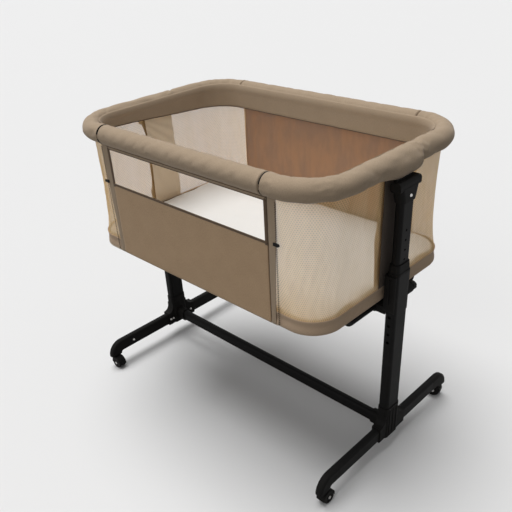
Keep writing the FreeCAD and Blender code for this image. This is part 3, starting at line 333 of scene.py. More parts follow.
def tube_of(name: str, line: Array, radius: float, sides: int) -> bpy.types.Object:
    """A round cord along a nearly level line, with closed ends.

    Args:
        name: Name of the piece.
        line: Points of the centreline, one row each.
        radius: Radius of the cord.
        sides: Vertices round the section.

    Returns:
        The object.
    """
    ahead = np.roll(line, -1, 0) - np.roll(line, 1, 0)
    ahead[0], ahead[-1] = line[1] - line[0], line[-1] - line[-2]
    ahead /= np.linalg.norm(ahead, axis=1)[:, None]
    side = np.cross(ahead, UP)
    side /= np.linalg.norm(side, axis=1)[:, None]
    other = np.cross(side, ahead)
    angles = np.arange(sides) / sides * TAU
    round_side = np.cos(angles)[None, :, None] * side[:, None]
    round_other = np.sin(angles)[None, :, None] * other[:, None]
    rings = line[:, None] + radius * (round_side + round_other)
    run = running(np.linalg.norm(np.diff(line, axis=0), axis=1))
    place = np.stack([np.repeat(run, sides), np.tile(angles, len(line)) * radius], 1)
    return add_mesh(name, rings.reshape(-1, 3), tube_faces(len(line), sides), place)


def thicken(piece: bpy.types.Object, thickness: float, offset: float = 0.0) -> None:
    """Give a sheet its thickness by a Solidify modifier.

    Args:
        piece: The sheet.
        thickness: How thick it gets.
        offset: Side on which it grows: 1 outside, -1 inside, 0 both.
    """
    solid = piece.modifiers.new("thickness", "SOLIDIFY")
    solid.thickness = thickness
    solid.offset = offset
    solid.use_even_offset = True


def refine(piece: bpy.types.Object) -> None:
    """Round a mesh once by a Subdivision modifier."""
    rounder = piece.modifiers.new("rounding", "SUBSURF")
    rounder.levels = rounder.render_levels = 1


# -------------------------------------------------------------------- cloth that relaxes
@dataclass(frozen=True)
class ClothRun:
    """How a padded cover is let relax by the cloth solver.

    Args:
        pressure: Push of the filling from inside.
        surplus: Share by which the fabric is longer than its form.
        hold: How strongly the free fabric keeps its place, 0 to 1.
        cap: Longest way that a point may move, in metres.
        frames: Frames that are run.
        quality: Steps of the solver in each frame.
        mass: Mass of a vertex.
        stretch: Stiffness against stretching and shrinking.
        shear: Stiffness against shearing.
        bend: Stiffness against bending.
    """

    pressure: float = 3.0
    surplus: float = 0.03
    hold: float = 0.05
    cap: float = 5 * MM
    frames: int = 18
    quality: int = 6
    mass: float = 0.15
    stretch: float = 12.0
    shear: float = 6.0
    bend: float = 0.4

    def relax(self, piece: bpy.types.Object, seams: Array) -> None:
        """Run the solver on a closed cover and keep its result.

        Args:
            piece: The cover.
            seams: One number per vertex, 1 where it is sewn down and 0 where it is free.
        """
        scene = bpy.context.scene
        mesh = piece.data
        start = read_points(mesh)
        held = piece.vertex_groups.new(name="held")
        weights = np.clip(np.maximum(seams, self.hold), 0.0, 1.0)
        half_level = 0.005
        for level in np.unique(np.round(weights, 2)):
            chosen = np.nonzero(np.abs(weights - level) < half_level)[0]
            held.add(chosen.tolist(), float(level), "REPLACE")
        cloth = piece.modifiers.new("cover", "CLOTH")
        settings = cloth.settings
        settings.quality = self.quality
        settings.mass = self.mass
        settings.tension_stiffness = settings.compression_stiffness = self.stretch
        settings.shear_stiffness = self.shear
        settings.bending_stiffness = self.bend
        settings.vertex_group_mass = held.name
        settings.pin_stiffness = 1.0
        settings.shrink_min = -self.surplus
        settings.use_pressure = True
        settings.uniform_pressure_force = self.pressure
        settings.effector_weights.gravity = 0.0
        cloth.collision_settings.use_collision = False
        cloth.point_cache.frame_start = 1
        cloth.point_cache.frame_end = self.frames
        for frame in range(1, self.frames + 1):
            scene.frame_set(frame)
        result = piece.evaluated_get(bpy.context.evaluated_depsgraph_get())
        moved = read_points(result.data)
        piece.modifiers.remove(cloth)
        piece.vertex_groups.remove(held)
        scene.frame_set(1)
        shift = moved - start
        length = np.linalg.norm(shift, axis=1)
        limit = self.cap * np.tanh(length / self.cap)
        start += shift * (limit / np.maximum(length, 1e-9))[:, None]
        mesh.vertices.foreach_set("co", start.astype(np.float32).ravel())
        mesh.update()
        LOG.info("%s relaxed by %.1f mm on average", piece.name, float(limit.mean()) / MM)


def read_points(mesh: bpy.types.Mesh) -> Array:
    """Vertices of a mesh.

    Args:
        mesh: The mesh.

    Returns:
        Their places, one row each.
    """
    flat = np.empty(len(mesh.vertices) * 3, np.float32)
    mesh.vertices.foreach_get("co", flat)
    return flat.reshape(-1, 3).astype(float)


# ------------------------------------------------------------------- shader groups
class Nodes:
    """Short ways to add nodes to a tree."""

    def __init__(self, tree: bpy.types.NodeTree) -> None:
        """Keep the tree.

        Args:
            tree: Node tree that gets the nodes.
        """
        self.tree = tree

    def add(self, kind: str, inputs: dict | None = None, **values) -> bpy.types.Node:
        """Add a node.

        Args:
            kind: Its type.
            inputs: Values or sockets for its inputs, by name or number.
            values: Its settings.

        Returns:
            The node.
        """
        node = self.tree.nodes.new(kind)
        for name, value in values.items():
            setattr(node, name, value)
        for name, value in (inputs or {}).items():
            self.feed(node.inputs[name], value)
        return node

    def feed(self, socket: bpy.types.NodeSocket, value: object) -> None:
        """Link a socket or set a value.

        Args:
            socket: Input that gets it.
            value: Socket, number or colour.
        """
        if isinstance(value, bpy.types.NodeSocket):
            self.tree.links.new(value, socket)
        elif isinstance(value, tuple) and len(value) == 3 and socket.type == "RGBA":
            socket.default_value = (*value, 1.0)
        else:
            socket.default_value = value

    def math(self, operation: str, *values: object) -> bpy.types.NodeSocket:
        """A Math node's result."""
        node = self.add("ShaderNodeMath", dict(enumerate(values)), operation=operation)
        return node.outputs[0]

    def vector(self, operation: str, *values: object) -> bpy.types.NodeSocket:
        """A Vector Math node's vector."""
        node = self.add("ShaderNodeVectorMath", dict(enumerate(values)), operation=operation)
        return node.outputs[0]

    def spread(self, value: object, low: float, high: float, to_low: float = 0.0,
               to_high: float = 1.0) -> bpy.types.NodeSocket:
        """A value carried smoothly from one range to another."""
        inputs = {"Value": value, "From Min": low, "From Max": high, "To Min": to_low, "To Max": to_high}
        return self.add("ShaderNodeMapRange", inputs, interpolation_type="SMOOTHSTEP").outputs["Result"]

    def noise(self, place: object, scale: object, detail: float = 2.0,
              rough: float = 0.5) -> bpy.types.NodeSocket:
        """A noise texture's factor."""
        inputs = {"Vector": place, "Scale": scale, "Detail": detail, "Roughness": rough}
        return self.add("ShaderNodeTexNoise", inputs).outputs[0]

    def mix(self, share: object, first: object, second: object) -> bpy.types.NodeSocket:
        """A mix of two colours.

        Args:
            share: Share of the second one.
            first: First colour.
            second: Second colour.

        Returns:
            The mixed colour.
        """
        node = self.add("ShaderNodeMix", data_type="RGBA")
        self.feed(node.inputs[0], share)
        self.feed(node.inputs[6], first)
        self.feed(node.inputs[7], second)
        return node.outputs[2]

    def scaled(self, place: object, factors: Colour) -> bpy.types.NodeSocket:
        """A place stretched along its axes."""
        return self.vector("MULTIPLY", place, factors)

    def group(self, tree: bpy.types.NodeTree, **inputs) -> dict[str, bpy.types.NodeSocket]:
        """A shared effect's outputs by name, with the effect's inputs fed."""
        node = self.add("ShaderNodeGroup", inputs, node_tree=tree)
        return {socket.name: socket for socket in node.outputs}

    def relief(self, shader: bpy.types.Node, height: object, strength: float, distance: float) -> None:
        """Feed a shader's normal from a height."""
        bump = self.add("ShaderNodeBump", {"Height": height, "Strength": strength, "Distance": distance})
        self.feed(shader.inputs["Normal"], bump.outputs[0])


def group_of(name: str, inputs: dict[str, tuple[str, object]], outputs: dict[str, str]) -> tuple:
    """Start a shader node group.

    Args:
        name: Name of the group.
        inputs: Socket type and default of each input.
        outputs: Socket type of each output.

    Returns:
        The tree, its node helper, the input node and the output node.
    """
    tree = bpy.data.node_groups.new(name, "ShaderNodeTree")
    for label, (kind, default) in inputs.items():
        socket = tree.interface.new_socket(label, in_out="INPUT", socket_type=kind)
        if default is not None:
            socket.default_value = default
    for label, kind in outputs.items():
        tree.interface.new_socket(label, in_out="OUTPUT", socket_type=kind)
    nodes = Nodes(tree)
    return tree, nodes, nodes.add("NodeGroupInput"), nodes.add("NodeGroupOutput")


FLOAT, VECTOR, COLOUR = "NodeSocketFloat", "NodeSocketVector", "NodeSocketColor"


@dataclass
class Effects:
    """Shader groups that several finishes share."""

    weave: bpy.types.NodeTree = field(init=False)
    mesh: bpy.types.NodeTree = field(init=False)
    stitches: bpy.types.NodeTree = field(init=False)
    grain: bpy.types.NodeTree = field(init=False)

    def __post_init__(self) -> None:
        """Build the groups."""
        self.weave = self.build_weave()
        self.mesh = self.build_mesh()
        self.stitches = self.build_stitches()
        self.grain = self.build_grain()

    @staticmethod
    def build_weave() -> bpy.types.NodeTree:
        """Heather cloth: uneven dyed yarn over a plain weave."""
        tree, n, start, end = group_of("heather_weave", {
            "Place": (VECTOR, None), "Pale": (COLOUR, None), "Mid": (COLOUR, None), "Deep": (COLOUR, None),
            "Yarn": (FLOAT, 0.0011), "Slub": (FLOAT, 0.5), "Patch": (FLOAT, 0.2),
        }, {"Colour": COLOUR, "Height": FLOAT})
        place = start.outputs["Place"]
        warp_scale, weft_scale, patch_scale, drawn_out = 260.0, 230.0, 22.0, 5.0
        along = n.noise(n.scaled(place, (1.0, drawn_out, 1.0)), warp_scale, 3.0, 0.6)
        across = n.noise(n.scaled(place, (drawn_out, 1.0, 1.0)), weft_scale, 3.0, 0.6)
        patch = n.noise(place, patch_scale, 3.0, 0.55)
        both = n.math("MULTIPLY_ADD", n.math("ADD", along, across), 0.5, 0.0)
        yarns = n.spread(both, 0.36, 0.64)
        slub = n.math("MULTIPLY", n.math("SUBTRACT", yarns, 0.5), start.outputs["Slub"])
        cloud = n.math("MULTIPLY", n.math("SUBTRACT", patch, 0.5), start.outputs["Patch"])
        tone = n.math("ADD", n.math("ADD", slub, cloud), 0.5)
        low = n.mix(n.spread(tone, 0.0, 0.5), start.outputs["Deep"], start.outputs["Mid"])
        colour = n.mix(n.spread(tone, 0.5, 1.0), low, start.outputs["Pale"])
        inverse = n.math("DIVIDE", TAU / 2, start.outputs["Yarn"])
        split = n.add("ShaderNodeSeparateXYZ", {0: place})
        warp = n.math("SINE", n.math("MULTIPLY", split.outputs[0], inverse))
        weft = n.math("SINE", n.math("MULTIPLY", split.outputs[1], inverse))
        weave = n.math("MULTIPLY_ADD", n.math("MULTIPLY", warp, weft), 0.25, 0.5)
        height = n.math("MULTIPLY_ADD", yarns, 0.5, weave)
        tree.links.new(colour, end.inputs["Colour"])
        tree.links.new(height, end.inputs["Height"])
        return tree

    @staticmethod
    def build_mesh() -> bpy.types.NodeTree:
        """Knitted mesh: round holes in two offset rows."""
        tree, n, start, end = group_of("knitted_mesh", {
            "Place": (VECTOR, None), "Pitch": (FLOAT, 0.004), "Hole": (FLOAT, 0.34),
        }, {"Thread": FLOAT, "Height": FLOAT})
        root = math.sqrt(3.0)
        scale = n.math("DIVIDE", 1.0, start.outputs["Pitch"])
        place = n.vector("MULTIPLY", start.outputs["Place"], (1.0, 1.0 / root, 0.0))
        grid = n.add("ShaderNodeVectorMath", {0: place, "Scale": scale}, operation="SCALE").outputs[0]
        reach = []
        for shift in (0.0, 0.5):
            cell = n.vector("FRACTION", n.vector("ADD", grid, (shift, shift, 0.0)))
            centre = n.vector("SUBTRACT", cell, (0.5, 0.5, 0.0))
            stretched = n.scaled(centre, (1.0, root, 0.0))
            reach.append(n.add("ShaderNodeVectorMath", {0: stretched}, operation="LENGTH").outputs["Value"])
        nearest = n.math("MINIMUM", reach[0], reach[1])
        edge = n.math("SUBTRACT", nearest, start.outputs["Hole"])
        tree.links.new(n.spread(edge, -0.06, 0.06), end.inputs["Thread"])
        tree.links.new(n.spread(edge, 0.0, 0.2), end.inputs["Height"])
        return tree

    @staticmethod
    def build_stitches() -> bpy.types.NodeTree:
        """A row of stitches along a line at one offset."""
        tree, n, start, end = group_of("stitch_row", {
            "Place": (VECTOR, None), "Offset": (FLOAT, 0.0),
            "Stitch": (FLOAT, 0.0035), "Width": (FLOAT, 0.0007),
        }, {"Mask": FLOAT, "Dent": FLOAT})
        split = n.add("ShaderNodeSeparateXYZ", {0: start.outputs["Place"]})
        away = n.math("ABSOLUTE", n.math("SUBTRACT", split.outputs[1], start.outputs["Offset"]))
        share = n.math("DIVIDE", away, start.outputs["Width"])
        on_line = n.spread(share, 1.0, 0.5)
        run = n.math("FRACT", n.math("DIVIDE", split.outputs[0], start.outputs["Stitch"]))
        dash = n.spread(n.math("ABSOLUTE", n.math("SUBTRACT", run, 0.5)), 0.42, 0.34)
        tree.links.new(n.math("MULTIPLY", on_line, dash), end.inputs["Mask"])
        tree.links.new(n.spread(share, 3.0, 0.0), end.inputs["Dent"])
        return tree

    @staticmethod
    def build_grain() -> bpy.types.NodeTree:
        """Fine grain of coated metal or moulded plastic, with faint handling marks."""
        tree, n, start, end = group_of("surface_grain", {
            "Place": (VECTOR, None), "Grain": (FLOAT, 900.0), "Marks": (FLOAT, 12.0),
            "Base": (COLOUR, None), "Worn": (COLOUR, None), "Amount": (FLOAT, 0.4),
            "Smooth": (FLOAT, 0.35), "Rough": (FLOAT, 0.6),
        }, {"Colour": COLOUR, "Roughness": FLOAT, "Height": FLOAT})
        place = start.outputs["Place"]
        fine = n.add("ShaderNodeTexNoise", {"Vector": place, "Scale": start.outputs["Grain"], "Detail": 1.0})
        marks = n.add("ShaderNodeTexNoise", {"Vector": place, "Scale": start.outputs["Marks"], "Detail": 6.0,
                                             "Roughness": 0.7})
        worn = n.math("MULTIPLY", n.spread(marks.outputs[0], 0.5, 0.72), start.outputs["Amount"])
        colour = n.mix(worn, start.outputs["Base"], start.outputs["Worn"])
        band = n.math("SUBTRACT", start.outputs["Rough"], start.outputs["Smooth"])
        rough = n.math("MULTIPLY_ADD", marks.outputs[0], band, start.outputs["Smooth"])
        tree.links.new(colour, end.inputs["Colour"])
        tree.links.new(rough, end.inputs["Roughness"])
        tree.links.new(fine.outputs[0], end.inputs["Height"])
        return tree


# ------------------------------------------------------------------------ finishes
def start_material(name: str) -> tuple[bpy.types.Material, Nodes, bpy.types.Node]:
    """A material with only its shader and output.

    Args:
        name: Name of the material.

    Returns:
        The material, its node helper and its Principled shader.
    """
    material = bpy.data.materials.new(name)
    material.use_nodes = True
    material.node_tree.nodes.clear()
    nodes = Nodes(material.node_tree)
    shader = nodes.add("ShaderNodeBsdfPrincipled")
    nodes.add("ShaderNodeOutputMaterial", {"Surface": shader.outputs[0]})
    return material, nodes, shader


class Dyed(Enum):
    """The cloths' colours: pale yarn, middle tone and deep yarn."""

    RAIL = ((0.50, 0.385, 0.272), (0.395, 0.300, 0.208), (0.28, 0.208, 0.142))
    PANEL = ((0.60, 0.420, 0.260), (0.49, 0.336, 0.203), (0.35, 0.232, 0.138))
    SKIRT = ((0.64, 0.475, 0.330), (0.50, 0.365, 0.250), (0.36, 0.256, 0.170))
    # Near-black strap dye: painted shade of the post on a taupe strip.
    STRAP = ((0.105, 0.072, 0.048), (0.066, 0.044, 0.029), (0.038, 0.025, 0.016))
    BINDING = ((0.20, 0.140, 0.092), (0.135, 0.091, 0.057), (0.085, 0.056, 0.034))
    # Near-white lining: partly the cloth's own cream, partly painted light on the strip's inner face.
    LINING = ((0.94, 0.81, 0.63), (0.90, 0.76, 0.57), (0.80, 0.65, 0.47))
    PIPING = ((0.66, 0.58, 0.46), (0.54, 0.47, 0.37), (0.42, 0.36, 0.28))
    MATTRESS = ((0.86, 0.855, 0.835), (0.83, 0.825, 0.80), (0.77, 0.76, 0.73))


@dataclass(frozen=True)
class ClothFinish:
    """Woven heather cloth.

    Args:
        name: Name of the material.
        dye: Its three yarn colours.
        slub: Contrast of the yarns.
        patch: Contrast of the larger cloudiness.
        bump: Depth of the weave.
        roughness: Roughness of the yarn.
        stitch_rows: Offsets of the sewn rows, in metres across the cloth.
        seam_painted_shade: How much darker the cloth is painted in the dent beside a sewn row, as painted
            shade.
        seam_dent: How deep a sewn row lies, against the height of the weave.
        gloss: Strength of its reflection.
        sheen: Strength of its sheen.
        sheen_roughness: Roughness of the sheen.
        weave_depth: Height of the weave.
    """

    name: str
    dye: Dyed
    slub: float = 0.55
    patch: float = 0.25
    bump: float = 0.22
    roughness: float = 0.9
    stitch_rows: tuple[float, ...] = ()
    seam_painted_shade: float = 0.4
    seam_dent: float = 2.5
    gloss: float = 0.25
    sheen: float = 0.12
    sheen_roughness: float = 0.5
    weave_depth: float = 0.6 * MM

    def make(self, effects: Effects) -> bpy.types.Material:
        """Build the material.

        Args:
            effects: Shared shader groups.

        Returns:
            The material.
        """
        material, n, shader = start_material(self.name)
        pale, mid, deep = self.dye.value
        place = n.add("ShaderNodeAttribute", attribute_name=PLACE).outputs["Vector"]
        weave = n.group(effects.weave, Place=place, Pale=pale, Mid=mid, Deep=deep, Slub=self.slub,
                        Patch=self.patch)
        colour, height = weave["Colour"], weave["Height"]
        for offset in self.stitch_rows:
            row = n.group(effects.stitches, Place=place, Offset=offset)
            # Painted shade: the cloth is darkened in the dent beside the sewn row.
            seam = n.mix(n.math("MULTIPLY", row["Dent"], self.seam_painted_shade), colour, deep)
            colour = n.mix(row["Mask"], seam, pale)
            height = n.math("MULTIPLY_ADD", row["Dent"], -self.seam_dent, height)
        n.feed(shader.inputs["Base Color"], colour)
        shader.inputs["Roughness"].default_value = self.roughness
        shader.inputs["Specular IOR Level"].default_value = self.gloss
        shader.inputs["Sheen Weight"].default_value = self.sheen
        shader.inputs["Sheen Roughness"].default_value = self.sheen_roughness
        n.relief(shader, height, self.bump, self.weave_depth)
        return material


@dataclass(frozen=True)
class SheerFinish:
    """Sheer knitted mesh, which lets part of the light through.

    Args:
        name: Name of the material.
        pale: Colour of the thread in the light.
        deep: Colour of the thread in its shadow.
        cover: Share of the light that the mesh stops, in the holes and in the thread.
        pitch: Distance between the holes.
        uneven: How much the share varies over the sheet.
        roughness: Roughness of the thread.
        gloss: Strength of its reflection.
        bump: How strongly the thread stands out.
        thread_depth: Height of the thread.
    """

    name: str
    pale: Colour
    deep: Colour
    cover: tuple[float, float] = (0.42, 0.74)
    pitch: float = 5.5 * MM
    uneven: float = 0.03
    roughness: float = 0.8
    gloss: float = 0.3
    bump: float = 0.25
    thread_depth: float = 0.5 * MM

    def make(self, effects: Effects) -> bpy.types.Material:
        """Build the material.

        Args:
            effects: Shared shader groups.

        Returns:
            The material.
        """
        material, n, shader = start_material(self.name)
        place = n.add("ShaderNodeAttribute", attribute_name=PLACE).outputs["Vector"]
        mesh = n.group(effects.mesh, Place=place, Pitch=self.pitch)
        cloud = n.noise(n.scaled(place, (1.0, 0.35, 1.0)), 30.0, 3.0)
        shade = n.spread(cloud, 0.3, 0.7)
        n.feed(shader.inputs["Base Color"], n.mix(shade, self.deep, self.pale))
        low, high = self.cover
        uneven = n.spread(cloud, 0.3, 0.7, -self.uneven, self.uneven)
        cover = n.math("ADD", n.math("MULTIPLY_ADD", mesh["Thread"], high - low, low), uneven)
        n.feed(shader.inputs["Alpha"], cover)
        shader.inputs["Roughness"].default_value = self.roughness
        shader.inputs["Specular IOR Level"].default_value = self.gloss
        n.relief(shader, mesh["Height"], self.bump, self.thread_depth)
        return material


@dataclass(frozen=True)
class HardFinish:
    """Coated metal, moulded plastic or plain steel.

    Args:
        name: Name of the material.
        base: Its colour.
        worn: Colour of its handling marks.
        grain: Fineness of its grain.
        bump: Depth of the grain.
        roughness: Its roughness between polished and dull places.
        metal: 1 for bare metal.
        amount: How much the marks show.
        gloss: Strength of its reflection.
        grain_depth: Height of the grain.
    """

    name: str
    base: Colour
    worn: Colour
    grain: float = 900.0
    bump: float = 0.08
    roughness: tuple[float, float] = (0.35, 0.6)
    metal: float = 0.0
    amount: float = 0.4
    gloss: float = 0.5
    grain_depth: float = 0.3 * MM

    def make(self, effects: Effects) -> bpy.types.Material:
        """Build the material.

        Args:
            effects: Shared shader groups.

        Returns:
            The material.
        """
        material, n, shader = start_material(self.name)
        place = n.add("ShaderNodeTexCoord").outputs["Object"]
        smooth_part, rough_part = self.roughness
        grain = n.group(effects.grain, Place=place, Grain=self.grain, Base=self.base, Worn=self.worn,
                        Amount=self.amount, Smooth=smooth_part, Rough=rough_part)
        n.feed(shader.inputs["Base Color"], grain["Colour"])
        n.feed(shader.inputs["Roughness"], grain["Roughness"])
        shader.inputs["Metallic"].default_value = self.metal
        shader.inputs["Specular IOR Level"].default_value = self.gloss
        n.relief(shader, grain["Height"], self.bump, self.grain_depth)
        return material


@dataclass
class Wardrobe:
    """Every finish of the crib, made once."""

    effects: Effects = field(default_factory=Effects)
    made: dict[str, bpy.types.Material] = field(default_factory=dict)

    def get(self, finish: ClothFinish | SheerFinish | HardFinish) -> bpy.types.Material:
        """The material of a finish."""
        if finish.name not in self.made:
            self.made[finish.name] = finish.make(self.effects)
        return self.made[finish.name]

    def cover(self, piece: bpy.types.Object, finish: ClothFinish | SheerFinish | HardFinish) -> None:
        """Give a piece one finish and no other."""
        piece.data.materials.clear()
        piece.data.materials.append(self.get(finish))

    def dress(self, piece: bpy.types.Object, finish: ClothFinish | SheerFinish | HardFinish, slot: str,
              body: str, node: str | None = None) -> None:
        """Give a built piece its finish and its place in the record.

        Args:
            piece: The piece.
            finish: Its finish.
            slot: Not used.
            body: Body that it rides on.
            node: Node that it replaces, if it replaces one.
        """
        self.cover(piece, finish)
        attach(piece, body)
        if node is not None:
            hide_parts(node)


RAIL_CLOTH = ClothFinish("heather_rail", Dyed.RAIL)
PANEL_CLOTH = ClothFinish("heather_panel", Dyed.PANEL, slub=0.65, patch=0.3)
SKIRT_CLOTH = ClothFinish("heather_skirt", Dyed.SKIRT, slub=0.4)
# The strap's near-black cloth is painted shade from the post.
PAINTED_SHADE_STRAP_CLOTH = ClothFinish("dark_strap", Dyed.STRAP, slub=0.3, bump=0.3)
BINDING_CLOTH = ClothFinish("binding_tape", Dyed.BINDING, slub=0.3, bump=0.3)
PIPING_CLOTH = ClothFinish("cream_piping", Dyed.PIPING, slub=0.3, bump=0.3)
FACING_CLOTH = ClothFinish("heather_facing", Dyed.RAIL, slub=0.45, stitch_rows=(2.5 * MM,))
# Lining cloth: its own cream, brightened further as painted light.
PAINTED_LIGHT_LINING_CLOTH = ClothFinish("cream_lining_painted_light", Dyed.LINING, slub=0.35, patch=0.3)
MATTRESS_CLOTH = ClothFinish("mattress_cover", Dyed.MATTRESS, slub=0.25, patch=0.5, bump=0.15,
                             roughness=0.85)
# One knitted mesh in two copies: the ends' very pale thread is partly painted light, the back's darker,
# nearly opaque thread is painted shade.
PAINTED_LIGHT_END_MESH = SheerFinish("sheer_ends_painted_light", (0.96, 0.70, 0.38), (0.90, 0.61, 0.30), cover=(0.52, 0.76))
PAINTED_SHADE_BACK_MESH = SheerFinish("sheer_back_painted_shade", (0.45, 0.240, 0.122), (0.35, 0.186, 0.093), cover=(0.95, 0.985),
                        uneven=0.01)
HARD = {
    "tube_black": HardFinish("black_coated_tube", (0.0075, 0.0072, 0.007), (0.020, 0.019, 0.018),
                             grain=1500.0, roughness=(0.44, 0.64), gloss=0.07),
    "moulding_black": HardFinish("black_moulding", (0.009, 0.0085, 0.008), (0.024, 0.022, 0.020), grain=700.0,
                                 bump=0.14, roughness=(0.52, 0.76), gloss=0.07),
    "knob_black": HardFinish("black_knob", (0.009, 0.0085, 0.008), (0.030, 0.027, 0.025), grain=600.0,
                             roughness=(0.40, 0.64), gloss=0.09),
    "wheel_black": HardFinish("black_wheel", (0.011, 0.0105, 0.010), (0.045, 0.042, 0.038), grain=400.0,
                              roughness=(0.5, 0.8), amount=0.7, gloss=0.09),
    "bright_steel": HardFinish("bright_steel", (0.56, 0.55, 0.53), (0.40, 0.39, 0.37), grain=300.0,
                               roughness=(0.22, 0.45), metal=1.0),
    "inner_tube": HardFinish("inner_tube", (0.020, 0.019, 0.018), (0.05, 0.048, 0.045), grain=1500.0,
                             roughness=(0.28, 0.5)),
    "board": HardFinish("floor_board", (0.19, 0.15, 0.115), (0.13, 0.10, 0.075), grain=250.0,
                        roughness=(0.6, 0.85)),
}


# --------------------------------------------------------------------- padded rail
class Side(Enum):
    """Ends of the crib, with the sign of X."""

    RIGHT = 1
    LEFT = -1

    @property
    def label(self) -> str:
        """Its word in the names of pieces."""
        return self.name.lower()


def flipped(points: Array, side: Side) -> Array:
    """Carry points built for the right-hand end to another end.

    Args:
        points: The points, X first.
        side: End that they are carried to.

    Returns:
        The points there.
    """
    result = points.copy()
    result[..., 0] *= side.value
    return result


def outward(piece: bpy.types.Object, side: Side) -> None:
    """Turn a mirrored piece's faces the right way out."""
    if side is Side.LEFT:
        piece.data.flip_normals()


